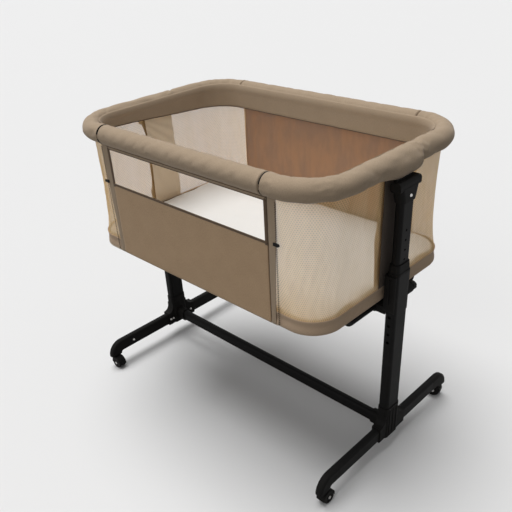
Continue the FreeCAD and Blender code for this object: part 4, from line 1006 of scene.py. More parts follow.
@dataclass
class PaddedRail:
    """Four padded sleeves round the top rail.

    Args:
        plan: Places of the frame.
        wardrobe: Finishes.
        step: Distance between the rows of vertices.
        sides: Vertices round the sleeve.
        slack: How far the cover starts inside its full radius.
        seam_turn: Where the lengthwise seam lies, in degrees from outward, over the top.
        seam_depth: How far a seam is pulled in.
        seam_width: Half of the width over which a seam across the sleeve is pulled in.
        seam_spread: The same for the lengthwise seam, in radians.
        unevenness: How far the cover is out of true.
        bend_fold: Depth of the folds on the inside of a bend.
        pucker: Depth of the puckers beside a seam.
        pucker_reach: How far the puckers go from it.
        end_neck: Length of the gathered neck at a sleeve's end.
        neck_radius: Radius of the neck's mouth.
        pleats: Pleats round half of the neck.
        pleat_depth: How far a pleat stands out.
        pleat_reach: How far the pleats go from the end.
        end_gap: Gap between a side sleeve and the back one.
        bracket_rise: How far the sleeve stands out over a post's bracket.
        bracket_turn: Where it stands out most, in degrees from outward.
        bracket_span: From where to where along Y it stands out.
        run: How the covers relax.
    """

    plan: CribPlan
    wardrobe: Wardrobe
    step: float = 5 * MM
    sides: int = 40
    slack: float = 1.2 * MM
    seam_turn: float = 250.0
    seam_depth: float = 1.6 * MM
    seam_width: float = 2.6 * MM
    seam_spread: float = 0.09
    unevenness: float = 0.7 * MM
    bend_fold: float = 1.3 * MM
    pucker: float = 0.8 * MM
    pucker_reach: float = 16 * MM
    end_neck: float = 2.2 * MM
    neck_radius: float = 25.7 * MM
    pleats: int = 11
    pleat_depth: float = 0.9 * MM
    pleat_reach: float = 8 * MM
    end_gap: float = 0.3 * MM
    bracket_rise: float = 13 * MM
    bracket_turn: float = -62.0
    bracket_span: tuple[float, float] = (-95 * MM, 66 * MM)
    run: ClothRun = ClothRun(pressure=2.0, surplus=0.005, hold=0.15, cap=2.0 * MM)

    def radius(self, s: Array, turn: Array, ends: tuple[float, float], seams: Sequence[float],
               bent: Array, seed: int) -> Array:
        """Radius of a sleeve before its cover relaxes.

        Args:
            s: Stations, as a column.
            turn: Angles round the section, as a row.
            ends: Stations of its two ends.
            seams: Stations of the seams across it.
            bent: How much the rail bends at each station, 0 to 1, as a column.
            seed: Seed of its unevenness.

        Returns:
            Radii, rows by columns.
        """
        full = self.plan.pad_radius() - self.slack
        uneven = waves(seed, s, turn * full, (35 * MM, 120 * MM))
        radius = full + self.unevenness * uneven
        inner = 0.5 - 0.5 * np.cos(turn)
        ripple = waves(seed + 1, s, turn * full * 0.3, (11 * MM, 22 * MM))
        radius = radius + self.bend_fold * bent * inner**2 * ripple
        for number, seam in enumerate(seams):
            away = s - seam
            puckers = waves(seed + 2 + number, s * 0.2, turn * full, (7 * MM, 14 * MM))
            radius = radius - self.seam_depth * bell(away, 0, self.seam_width)
            radius = radius + self.pucker * puckers * bell(away, 0, self.pucker_reach)
        along = np.radians(self.seam_turn)
        radius = radius - self.seam_depth * bell(turn - along, 0, self.seam_spread)
        for end in ends:
            inside = np.abs(s - end)
            neck = smooth(0.0, self.end_neck, inside)
            pleats = np.abs(np.sin(turn * self.pleats + seed)) * self.pleat_depth
            pleats = pleats * bell(inside, self.end_neck, self.pleat_reach)
            gathered = self.neck_radius + (radius - self.neck_radius) * np.sqrt(neck) + pleats
            radius = np.where(inside < 3 * self.end_neck, gathered, radius)
        return radius

    def bulge(self, along: Array, turn: Array) -> Array:
        """How much further out the sleeve is where it goes over the post's bracket.

        Args:
            along: Y of the stations on the end of the rail, as a column.
            turn: Angles round the section, as a row.

        Returns:
            Distances, rows by columns.
        """
        start, end = self.bracket_span
        slow_rise, quick_fall = 90 * MM, 12 * MM
        swell = smooth(start, start + slow_rise, along) * (1 - smooth(end - quick_fall, end, along))
        aim = np.clip(np.cos(turn - np.radians(self.bracket_turn)), 0, 1) ** 1.3
        crease_depth, fold_depth = 2.2 * MM, 1.1 * MM
        crease = -crease_depth * bell(along, end + 2 * MM, 4 * MM)
        folds = fold_depth * waves(71, along, turn * self.plan.pad_radius(), (12 * MM, 30 * MM))
        near = smooth(end - 45 * MM, end, along) * (1 - smooth(end + 4 * MM, end + 30 * MM, along))
        return self.bracket_rise * swell * aim + crease + folds * near

    def sleeve(self, name: str, node: str, body: str, oval: Oval, span: tuple[float, float],
               seams: Sequence[float], side: Side, seed: int) -> None:
        """Build one sleeve.

        Args:
            name: Name of the piece.
            node: Node that it replaces.
            body: Body that it rides on.
            oval: Centreline.
            span: First and last station.
            seams: Stations of the seams across it.
            side: End of the crib it is carried to.
            seed: Seed of its unevenness.
        """
        first, last = span
        rows = int((last - first) / self.step) + 1
        stations = np.linspace(first, last, rows)
        turns = np.arange(self.sides) / self.sides * TAU
        line, normals = oval.walk(stations)
        marks = oval.marks()
        before, after = 15 * MM, 25 * MM
        bent = sum(smooth(marks[k] - before, marks[k] + after, stations)
                   * (1 - smooth(marks[k + 1] - after, marks[k + 1] + before, stations)) for k in (1, 3))
        s, turn = stations[:, None], turns[None, :]
        radius = self.radius(s, turn, (first, last), seams, bent[:, None], seed)
        if seams:
            far_away = 1000.0
            off_the_end = line[:, :1] < oval.half_x - 1 * MM
            radius = radius + self.bulge(line[:, 1:] + far_away * off_the_end, turn)
        across = radius * np.cos(turn)
        points = np.empty((rows, self.sides, 3))
        points[..., :2] = line[:, None] + across[..., None] * normals[:, None]
        points[..., 2] = self.plan.rail_z() + radius * np.sin(turn)
        points = flipped(points, side)
        place = np.stack(np.broadcast_arrays(s, turn * self.plan.pad_radius()), -1)
        piece = add_mesh(name, points.reshape(-1, 3), tube_faces(rows, self.sides), place.reshape(-1, 2))
        sewn_spread = 0.1
        along = np.abs(turn - np.radians(self.seam_turn)) < sewn_spread
        near_end = np.minimum(s - first, last - s) < self.end_neck + self.step
        sewn = np.maximum(along, near_end) * 1.0
        for seam in seams:
            sewn = np.maximum(sewn, bell(s - seam, 0, 3 * MM))
        self.run.relax(piece, np.broadcast_to(sewn, (rows, self.sides)).ravel())
        outward(piece, side)
        refine(piece)
        self.wardrobe.dress(piece, RAIL_CLOTH, "rail_fabric", body, node)
        LOG.info("%s: %d rows", name, rows)

    def build(self) -> None:
        """Build the four sleeves."""
        oval = self.plan.rail()
        seams = self.plan.seam_stations(oval)
        half_front = oval.half_x - oval.corner
        back_start = float(oval.marks()[4])
        start = self.plan.joint_x()
        seam_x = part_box("rail_pad_back")[1].x
        end = back_start + half_front - seam_x
        for number, side in enumerate(Side):
            self.sleeve(f"rail_sleeve_{side.label}", f"rail_pad_{side.label}", "cot", oval,
                        (start, end - self.end_gap), tuple(seams.values()), side, 11 + 20 * number)
        middle = back_start + half_front
        self.sleeve("rail_sleeve_back", "rail_pad_back", "cot", oval, (middle - seam_x, middle + seam_x), (),
                    Side.RIGHT, 61)
        gate = self.plan.gate_half()
        self.sleeve("gate_sleeve", "gate_rail_pad", "gate", oval, (-gate, gate), (), Side.RIGHT, 81)


# ------------------------------------------------------------------------ walls
@dataclass
class WallPath:
    """Path of a wall along two ovals, one at its foot and one at its head.

    Args:
        foot: Oval at the foot.
        head: Oval at the head.
        front_x: Where it starts on the front.
        back_x: Where it ends on the back.
    """

    foot: Oval
    head: Oval
    front_x: float
    back_x: float

    def stops(self, oval: Oval) -> Array:
        """Places that belong together on the two ovals.

        Args:
            oval: The foot's oval or the head's.

        Returns:
            Arc lengths of the start, the corners' ends and the end.
        """
        marks = oval.marks()
        end = marks[4] + (oval.half_x - oval.corner - self.back_x)
        return np.array([self.front_x, marks[1], marks[2], marks[3], marks[4], end])

    def columns(self, count: int) -> tuple[Array, Array]:
        """Evenly spread columns.

        Args:
            count: How many there are.

        Returns:
            Their arc lengths on the foot and on the head.
        """
        head, foot = self.stops(self.head), self.stops(self.foot)
        at_head = np.linspace(head[0], head[-1], count)
        return np.interp(at_head, head, foot), at_head


@dataclass
class SheerWalls:
    """Sheer end and back walls, the facing inside the rail, and the strips behind the posts.

    Args:
        plan: Places of the frame.
        wardrobe: Finishes.
        step: Distance between the facing's columns of vertices.
        rows: Rows of vertices up a wall.
        end_columns: Columns of vertices along an end wall.
        back_columns: Columns of vertices along the back wall.
        inset: How far inside the rail's and the base's lines the mesh hangs.
        tuck: How far the mesh goes on behind the skirt and under the sleeve.
        front_lap: How far an end wall goes on behind the zip strip, from the strip's outer edge.
        back_lap: How far the back wall laps over each end wall.
        waist: How far the walls pull in between their seams.
        waist_height: Where they pull in most, as a share of their height.
        fan_pitch: Distance between the slanting pulls of an end wall.
        fan_lean: How much they lean.
        fan_depth: How far they stand out.
        rib_depth: How far the soft ribs of an end wall stand out.
        back_wave: How far the back wall's waves stand out.
        facing_gap: How far the facing stands off the rail's sleeve.
        facing_turns: From where to where it is sewn round the sleeve, in degrees from outward.
        facing_rise: How much higher its lower seam lies at the front.
        facing_fall: Between which distances from its ends the seam comes down.
        facing_wave: How far its free part waves.
        facing_thick: Its thickness.
        cord_radius: Radius of the dark cord on its lower seam.
        lining_half: Half of the lining's width.
        lining_gap: How far the lining hangs inside the wall's line.
        lining_waist: Its share of the wall's inward pull.
        lining_fan: Depth of its slanting pulls.
        lining_pulls: How close they are, as pulls in a full turn.
        strap_sink: How far the strap's edges lie inside the frame's stile.
        strap_pull: How far its middle pulls in.
        strap_wave: How uneven it is.
        strap_thick: Its thickness.
    """

    plan: CribPlan
    wardrobe: Wardrobe
    step: float = 5 * MM
    rows: int = 60
    end_columns: int = 170
    back_columns: int = 126
    inset: float = 1.0 * MM
    tuck: float = 3 * MM
    front_lap: float = 24.5 * MM
    back_lap: float = 7 * MM
    waist: float = 8 * MM
    waist_height: float = 0.4
    fan_pitch: float = 26 * MM
    fan_lean: float = 0.35
    fan_depth: float = 2.2 * MM
    rib_depth: float = 1.3 * MM
    back_wave: float = 1.5 * MM
    facing_gap: float = 0.8 * MM
    facing_turns: tuple[float, float] = (180.0, 140.0)
    facing_rise: float = 28 * MM
    facing_fall: tuple[float, float] = (100 * MM, 620 * MM)
    facing_wave: float = 1.3 * MM
    facing_thick: float = 0.8 * MM
    cord_radius: float = 1.1 * MM
    lining_half: float = 50 * MM
    lining_gap: float = 8.5 * MM
    lining_waist: float = 0.62
    lining_fan: float = 1.6 * MM
    lining_pulls: float = 34.0
    strap_sink: float = 1.2 * MM
    strap_pull: float = 5 * MM
    strap_wave: float = 0.9 * MM
    strap_thick: float = 1.0 * MM

    def heights(self) -> tuple[float, float]:
        """Foot and head of the mesh."""
        low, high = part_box("end_wall_right")
        return low.z - self.tuck, high.z + self.tuck

    def pull(self, share: Array, depth: Array) -> Array:
        """Inward pull at a share of the height."""
        power = math.log(0.5) / math.log(self.waist_height)
        return depth * np.sin(TAU / 2 * np.clip(share, 0, 1) ** power)

    def surface(self, foot: tuple[Array, Array], head: tuple[Array, Array], depth: Array,
                ripple: Callable[[Array, Array], Array]) -> Array:
        """Points of a wall between its foot and head lines.

        Args:
            foot: Points and outward directions along the foot.
            head: Points and outward directions along the head.
            depth: Inward pull of each column.
            ripple: Outward waves, from column numbers as shares and heights as shares.

        Returns:
            Columns by rows by 3.
        """
        share = np.linspace(0, 1, self.rows)[None, :]
        low, high = self.heights()
        line = foot[0][:, None] * (1 - share[..., None]) + head[0][:, None] * share[..., None]
        out = foot[1][:, None] * (1 - share[..., None]) + head[1][:, None] * share[..., None]
        out /= np.linalg.norm(out, axis=2)[..., None]
        column = np.linspace(0, 1, len(foot[0]))[:, None]
        shift = -self.pull(share, depth[:, None]) + ripple(column, share)
        points = np.empty((len(foot[0]), self.rows, 3))
        points[..., :2] = line + out * shift[..., None]
        points[..., 2] = low + (high - low) * share
        return points

    def end_wall(self, side: Side) -> None:
        """Build the wall round one end.

        Args:
            side: End of the crib.
        """
        foot_oval, head_oval = self.plan.base().grown(-self.inset), self.plan.rail().grown(-self.inset)
        front_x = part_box("front_stiles")[1].x - self.front_lap
        path = WallPath(foot_oval, head_oval, front_x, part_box("rail_pad_back")[1].x)
        at_foot, at_head = path.columns(self.end_columns)
        marks = head_oval.marks()
        corner = sum(bell(at_head, (marks[k] + marks[k + 1]) / 2, 90 * MM) for k in (1, 3))
        depth = self.waist * (0.55 + 0.7 * corner)
        depth *= smooth(at_head[0] - 10 * MM, at_head[0] + 60 * MM, at_head)
        seed = 7 if side is Side.RIGHT else 8
        height = self.heights()[1] - self.heights()[0]
        length = at_head[-1] - at_head[0]
        fan_share = 1 if side is Side.LEFT else 0.35

        def ripple(column: Array, share: Array) -> Array:
            """Upright ribs and slanting pulls between the seams.

            Args:
                column: Place along the wall, as a share.
                share: Height, as a share.

            Returns:
                How far the wall stands out.
            """
            along, up = column * length, share * height
            fade = np.sin(TAU / 2 * share)
            stray = 2 * waves(seed, along, up, (80 * MM, 200 * MM))
            fan = np.sin((along - self.fan_lean * up) * TAU / self.fan_pitch + stray)
            near_front = smooth(0.36, 0.12, column) * fan_share
            soft = waves(seed + 3, along, up * 0.3, (30 * MM, 90 * MM))
            return fade * (self.fan_depth * fan * near_front + self.rib_depth * soft)

        points = self.surface(foot_oval.walk(at_foot), head_oval.walk(at_head), depth, ripple)
        points = flipped(points, side)
        piece = sheet_of(f"sheer_wall_{side.label}", points, self.place_of(points))
        outward(piece, side)
        # Very pale end mesh: partly painted light.
        self.wardrobe.dress(piece, PAINTED_LIGHT_END_MESH, "mesh_fabric", "cot", f"end_wall_{side.label}")

    def back_wall(self) -> None:
        """Build the wall along the back."""
        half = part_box("rail_pad_back")[1].x + self.back_lap
        foot_oval, head_oval = self.plan.base().grown(-self.inset), self.plan.rail().grown(-self.inset)
        x = np.linspace(half, -half, self.back_columns)
        out = np.tile([0.0, 1.0], (len(x), 1))
        foot = np.stack([x, np.full(len(x), foot_oval.half_y)], 1)
        head = np.stack([x, np.full(len(x), head_oval.half_y)], 1)
        depth = self.waist * (0.4 + 0.6 * smooth(half, half - 80 * MM, np.abs(x)) * 0.5)

        def ripple(column: Array, share: Array) -> Array:
            """Soft upright waves.

            Args:
                column: Place along the wall, as a share.
                share: Height, as a share.

            Returns:
                How far the wall stands out.
            """
            along, up = column * 2 * half, share * 0.28
            soft = waves(31, along, up * 0.3, (40 * MM, 120 * MM))
            return np.sin(TAU / 2 * share) * self.back_wave * soft

        points = self.surface((foot, out), (head, out), depth, ripple)
        piece = sheet_of("sheer_wall_back", points, self.place_of(points))
        # Dark, nearly opaque back mesh: painted shade.
        self.wardrobe.dress(piece, PAINTED_SHADE_BACK_MESH, "mesh_fabric", "cot", "back_wall")

    @staticmethod
    def place_of(points: Array) -> Array:
        """Cloth coordinates measured along a sheet.

        Args:
            points: Array of columns by rows by 3.

        Returns:
            Array of columns by rows by 2, in metres.
        """
        along = np.linalg.norm(np.diff(points, axis=0), axis=2).mean(1)
        up = np.linalg.norm(np.diff(points, axis=1), axis=2).mean(0)
        return np.stack(np.meshgrid(running(along), running(up), indexing="ij"), -1)

    def facing(self) -> None:
        """Build the cloth facing that is sewn round the rail's inner side and hangs inside the walls."""
        oval = self.plan.rail()
        marks = oval.marks()
        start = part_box("front_stiles")[1].x
        stations = np.arange(start, marks[-1] - start, self.step)
        line, out = oval.walk(stations)
        radius, centre = self.plan.pad_radius() + self.facing_gap, self.plan.rail_z()
        turns = np.radians(np.linspace(*self.facing_turns, 6))
        ahead = np.minimum(stations - stations[0], stations[-1] - stations)[:, None]
        low = self.plan.facing_low + self.facing_rise * (1 - smooth(*self.facing_fall, ahead))
        drop = np.linspace(0, 1, 10)[None, :-1]
        offset = np.concatenate([np.full(drop.shape[1], -radius + 1.5 * MM), radius * np.cos(turns)])
        arc = np.broadcast_to(centre + radius * np.sin(turns), (len(stations), len(turns)))
        height = np.concatenate([low + (centre - low) * drop, arc], axis=1)
        free = smooth(centre, self.plan.facing_low, height)
        wavy = waves(41, stations[:, None], height, (40 * MM, 130 * MM)) * self.facing_wave * free
        points = np.empty((*height.shape, 3))
        points[..., :2] = line[:, None] + out[:, None] * (offset[None, :] + wavy)[..., None]
        points[..., 2] = height
        piece = sheet_of("rail_facing", points, self.place_of(points))
        thicken(piece, self.facing_thick)
        self.wardrobe.dress(piece, FACING_CLOTH, "rail_fabric", "cot")
        cord_inset = 0.6 * MM
        edge = points[:, 0] - np.append(out, np.zeros((len(out), 1)), axis=1) * cord_inset
        cord = tube_of("facing_seam", edge, self.cord_radius, 6)
        self.wardrobe.dress(cord, BINDING_CLOTH, "rail_fabric", "cot")

    def lining(self, side: Side) -> None:
        """Build the cream cloth inside an end wall, which hides the dark strip from inside; its near-white
        cream is partly its own colour and partly painted light.

        Args:
            side: End of the crib.
        """
        low, high = self.heights()
        half, hem = self.lining_half, 2 * MM
        y = np.linspace(-half, half, 55)
        z = np.linspace(low + self.tuck + hem, high - hem, 60)
        yy, zz = np.meshgrid(y, z, indexing="ij")
        share = (zz - low) / (high - low)
        foot_x, head_x = self.plan.base().half_x, self.plan.rail().half_x
        pulled = self.pull(share, np.full_like(share, self.waist * self.lining_waist))
        corner_y, corner_z = -half - 60 * MM, high + 20 * MM
        angle = np.arctan2(corner_z - zz, yy - corner_y)
        fan = np.sin(angle * self.lining_pulls) * self.lining_fan * np.sin(TAU / 2 * share)
        x = foot_x + (head_x - foot_x) * share - pulled - self.lining_gap + fan
        points = flipped(np.stack([x, yy, zz], -1), side)
        piece = sheet_of(f"strap_lining_{side.label}", points, self.place_of(points))
        outward(piece, side)
        # Near-white lining: partly painted light.
        self.wardrobe.dress(piece, PAINTED_LIGHT_LINING_CLOTH, "mesh_fabric", "cot")

    def strap(self, side: Side) -> None:
        """Build the cloth strip on an end wall, behind the post; its near-black dye is painted shade from the
        post.

        Args:
            side: End of the crib. The right-hand strip stands for both stiles of the frame.
        """
        low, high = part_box("end_stiles")
        half = high.y
        y = np.linspace(-half, half, 33)
        z = np.linspace(low.z, high.z + self.tuck, 49)
        yy, zz = np.meshgrid(y, z, indexing="ij")
        share = (zz - low.z) / (high.z - low.z)
        wavy = waves(51 + side.value, yy, zz, (50 * MM, 140 * MM)) * self.strap_wave
        pulled = self.pull(share, self.strap_pull * (1 - (yy / half) ** 2))
        x = high.x - self.strap_sink - pulled + wavy * np.sin(TAU / 2 * share)
        points = flipped(np.stack([x, yy, zz], -1), side)
        piece = sheet_of(f"end_strip_{side.label}", points, self.place_of(points))
        outward(piece, side)
        thicken(piece, self.strap_thick, 1.0)
        replaced = "end_stiles" if side is Side.RIGHT else None
        # Near-black cloth: painted shade from the post.
        self.wardrobe.dress(piece, PAINTED_SHADE_STRAP_CLOTH, "panel_fabric", "cot", replaced)

    def build(self) -> None:
        """Build every wall piece."""
        for side in Side:
            self.end_wall(side)
        self.back_wall()
        self.facing()
        for side in Side:
            self.lining(side)
        for side in Side:
            self.strap(side)


# ------------------------------------------------------------------------- base
@dataclass
class CotBase:
    """Skirt round the base, its piping, and the mattress.

    Args:
        plan: Places of the frame.
        wardrobe: Finishes.
        step: Distance between the skirt's columns of vertices.
        skirt_sink: How far inside the frame's skirt the cloth lies.
        skirt_hollow: How far it is drawn in above the ring.
        skirt_swell: How far it stands out over the ring.
        skirt_wave: How uneven the drawn-in part is.
        skirt_flange: How far in the rows of the part under the ring lie, in millimetres.
        skirt_thick: Thickness of the cloth.
        piping_radius: Radius of the piping on the skirt's lower edge.
        piping_past: How far it goes on past the corner, along the left end.
        piping_share: Share of the front's right half that it goes along.
        crown: How far the mattress rises in its middle.
        mattress_grid: Its vertices lengthwise and crosswise.
        mattress_gap: How far the cover starts inside the frame's mattress.
        mattress_wave: How uneven its top is.
        side_rings: Rings of vertices up its side, with the two edges.
        corner_gap: How much smaller its corner radius is than the base's.
        side_bow: Share of its size by which the middle of its side stands out past the edges.
        run: How its cover relaxes.
    """

    plan: CribPlan
    wardrobe: Wardrobe
    step: float = 5 * MM
    skirt_sink: float = 0.5 * MM
    skirt_hollow: float = 2.2 * MM
    skirt_swell: float = 0.6 * MM
    skirt_wave: float = 0.7 * MM
    skirt_flange: tuple[int, ...] = (12, 20, 28, 35)
    skirt_thick: float = 0.9 * MM
    piping_radius: float = 1.7 * MM
    piping_past: float = 60 * MM
    piping_share: float = 0.9
    crown: float = 4.5 * MM
    mattress_grid: tuple[int, int] = (88, 56)
    mattress_gap: float = 1.5 * MM
    mattress_wave: float = 1.1 * MM
    side_rings: int = 9
    corner_gap: float = 5.5 * MM
    side_bow: float = 0.014
    run: ClothRun = ClothRun(pressure=1.5, surplus=0.012, hold=0.08, cap=4 * MM)

    def skirt(self) -> None:
        """Build the cloth band round the base, turned in under the ring."""
        low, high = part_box("base_skirt")
        oval = self.plan.base()
        count = len(np.arange(0, oval.length(), self.step))
        stations = np.linspace(0, oval.length(), count + 1)[:-1]
        line, out = oval.walk(stations)
        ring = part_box("base_ring_tube")
        ring_z = (ring[0].z + ring[1].z) / 2
        upright = np.linspace(high.z, low.z + 4 * MM, 10)
        above_ring = 15 * MM
        hollow = self.skirt_hollow * bell(upright, ring_z + above_ring, 9 * MM)
        swell = self.skirt_swell * bell(upright, ring_z, 6 * MM)
        profile = list(zip(-self.skirt_sink - hollow + swell, upright))
        profile += [(-1.5 * MM, low.z + 1.4 * MM), (-5 * MM, low.z + 0.4 * MM)]
        profile += [(-reach * MM, low.z + 0.3 * MM) for reach in self.skirt_flange]
        inset, z = np.array(profile).T
        wavy = waves(91, stations[:, None], z[None, :], (60 * MM, 200 * MM)) * self.skirt_wave
        wavy = wavy * bell(z, ring_z + 14 * MM, 10 * MM)
        points = np.empty((len(stations), len(z), 3))
        points[..., :2] = line[:, None] + out[:, None] * (inset[None, :] + wavy)[..., None]
        points[..., 2] = z
        run = running(np.hypot(np.diff(inset), np.diff(z)))
        place = np.stack(np.meshgrid(stations, run, indexing="ij"), -1)
        piece = sheet_of("skirt_band", points, place, wrap_rows=True)
        thicken(piece, self.skirt_thick, -1.0)
        self.wardrobe.dress(piece, SKIRT_CLOTH, "panel_fabric", "cot", "base_skirt")

    def piping(self) -> None:
        """Build the piping on the skirt's lower edge, round the front left corner and along the front."""
        oval = self.plan.base().grown(0.2 * MM)
        marks = oval.marks()
        start, end = -marks[2] - self.piping_past, marks[1] * self.piping_share
        stations = np.arange(start, end, 6 * MM)
        line, _ = oval.walk(stations)
        z = np.full(len(stations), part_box("base_skirt")[0].z + self.piping_radius + 0.4 * MM)
        piece = tube_of("skirt_piping", np.column_stack([line, z]), self.piping_radius, 8)
        self.wardrobe.dress(piece, PIPING_CLOTH, "panel_fabric", "cot")

    def mattress(self) -> None:
        """Build the mattress as a crowned, closed cover."""
        low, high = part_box("mattress")
        corner = self.plan.base_corner - self.corner_gap
        half_x, half_y = high.x - self.mattress_gap, high.y - self.mattress_gap
        columns, rows = self.mattress_grid
        y = half_y * np.sin(np.linspace(-TAU / 4, TAU / 4, rows))
        over = np.clip(np.abs(y) - (half_y - corner), 0, corner)
        width = half_x - corner + np.sqrt(corner**2 - over**2)
        x = np.linspace(-1, 1, columns)[:, None] * width[None, :]
        flat = np.stack([x, np.broadcast_to(y, x.shape)], -1).reshape(-1, 2)
        number = np.arange(columns * rows).reshape(columns, rows)
        rim = np.concatenate([number[:-1, 0], number[-1, :-1], number[:0:-1, -1], number[0, :0:-1]])
        share = ((np.abs(flat[:, 0]) / half_x) ** 4 + (np.abs(flat[:, 1]) / half_y) ** 4) ** 0.25
        share = np.clip(share, 0, 1)
        share[rim] = 1.0
        uneven = waves(95, flat[:, 0], flat[:, 1], (60 * MM, 220 * MM)) * self.mattress_wave
        lift = self.crown * (1 - share**6) + uneven * (1 - share**4)
        thick, count = high.z - low.z, len(rim)
        angles = np.linspace(-TAU / 4, TAU / 4, self.side_rings)
        inner = 1 - self.side_bow
        points = [np.column_stack([flat * inner, np.full(len(flat), low.z)]),
                  np.column_stack([flat * inner, high.z + lift])]
        place = [flat, flat]
        for angle in angles[1:-1]:
            ring = flat[rim] * (1 - self.side_bow * (1 - math.cos(angle)))
            level = low.z + thick / 2 * (1 + math.sin(angle))
            points.append(np.column_stack([ring, np.full(count, level)]))
            place.append(flat[rim])
        under, size = number[:-1, :-1].ravel(), len(flat)
        faces = [(k, k + 1, k + rows + 1, k + rows) for k in under.tolist()]
        faces += [tuple(size + k for k in face[::-1]) for face in faces]
        between = [2 * size + count * k + np.arange(count) for k in range(len(angles) - 2)]
        rings = [rim, *between, size + rim]
        for lower, upper in zip(rings, rings[1:]):
            corners = np.stack([lower, np.roll(lower, -1), np.roll(upper, -1), upper], 1)
            faces += [tuple(face) for face in corners.tolist()]
        grid = np.concatenate(points)
        piece = add_mesh("mattress_cover", grid, faces, np.concatenate(place))
        sewn = (grid[:, 2] < low.z + 1 * MM) * 1.0
        self.run.relax(piece, sewn)
        refine(piece)
        self.wardrobe.dress(piece, MATTRESS_CLOTH, "mattress_cover", "cot", "mattress")

    def build(self) -> None:
        """Build the base's soft pieces."""
        self.skirt()
        self.piping()
        self.mattress()


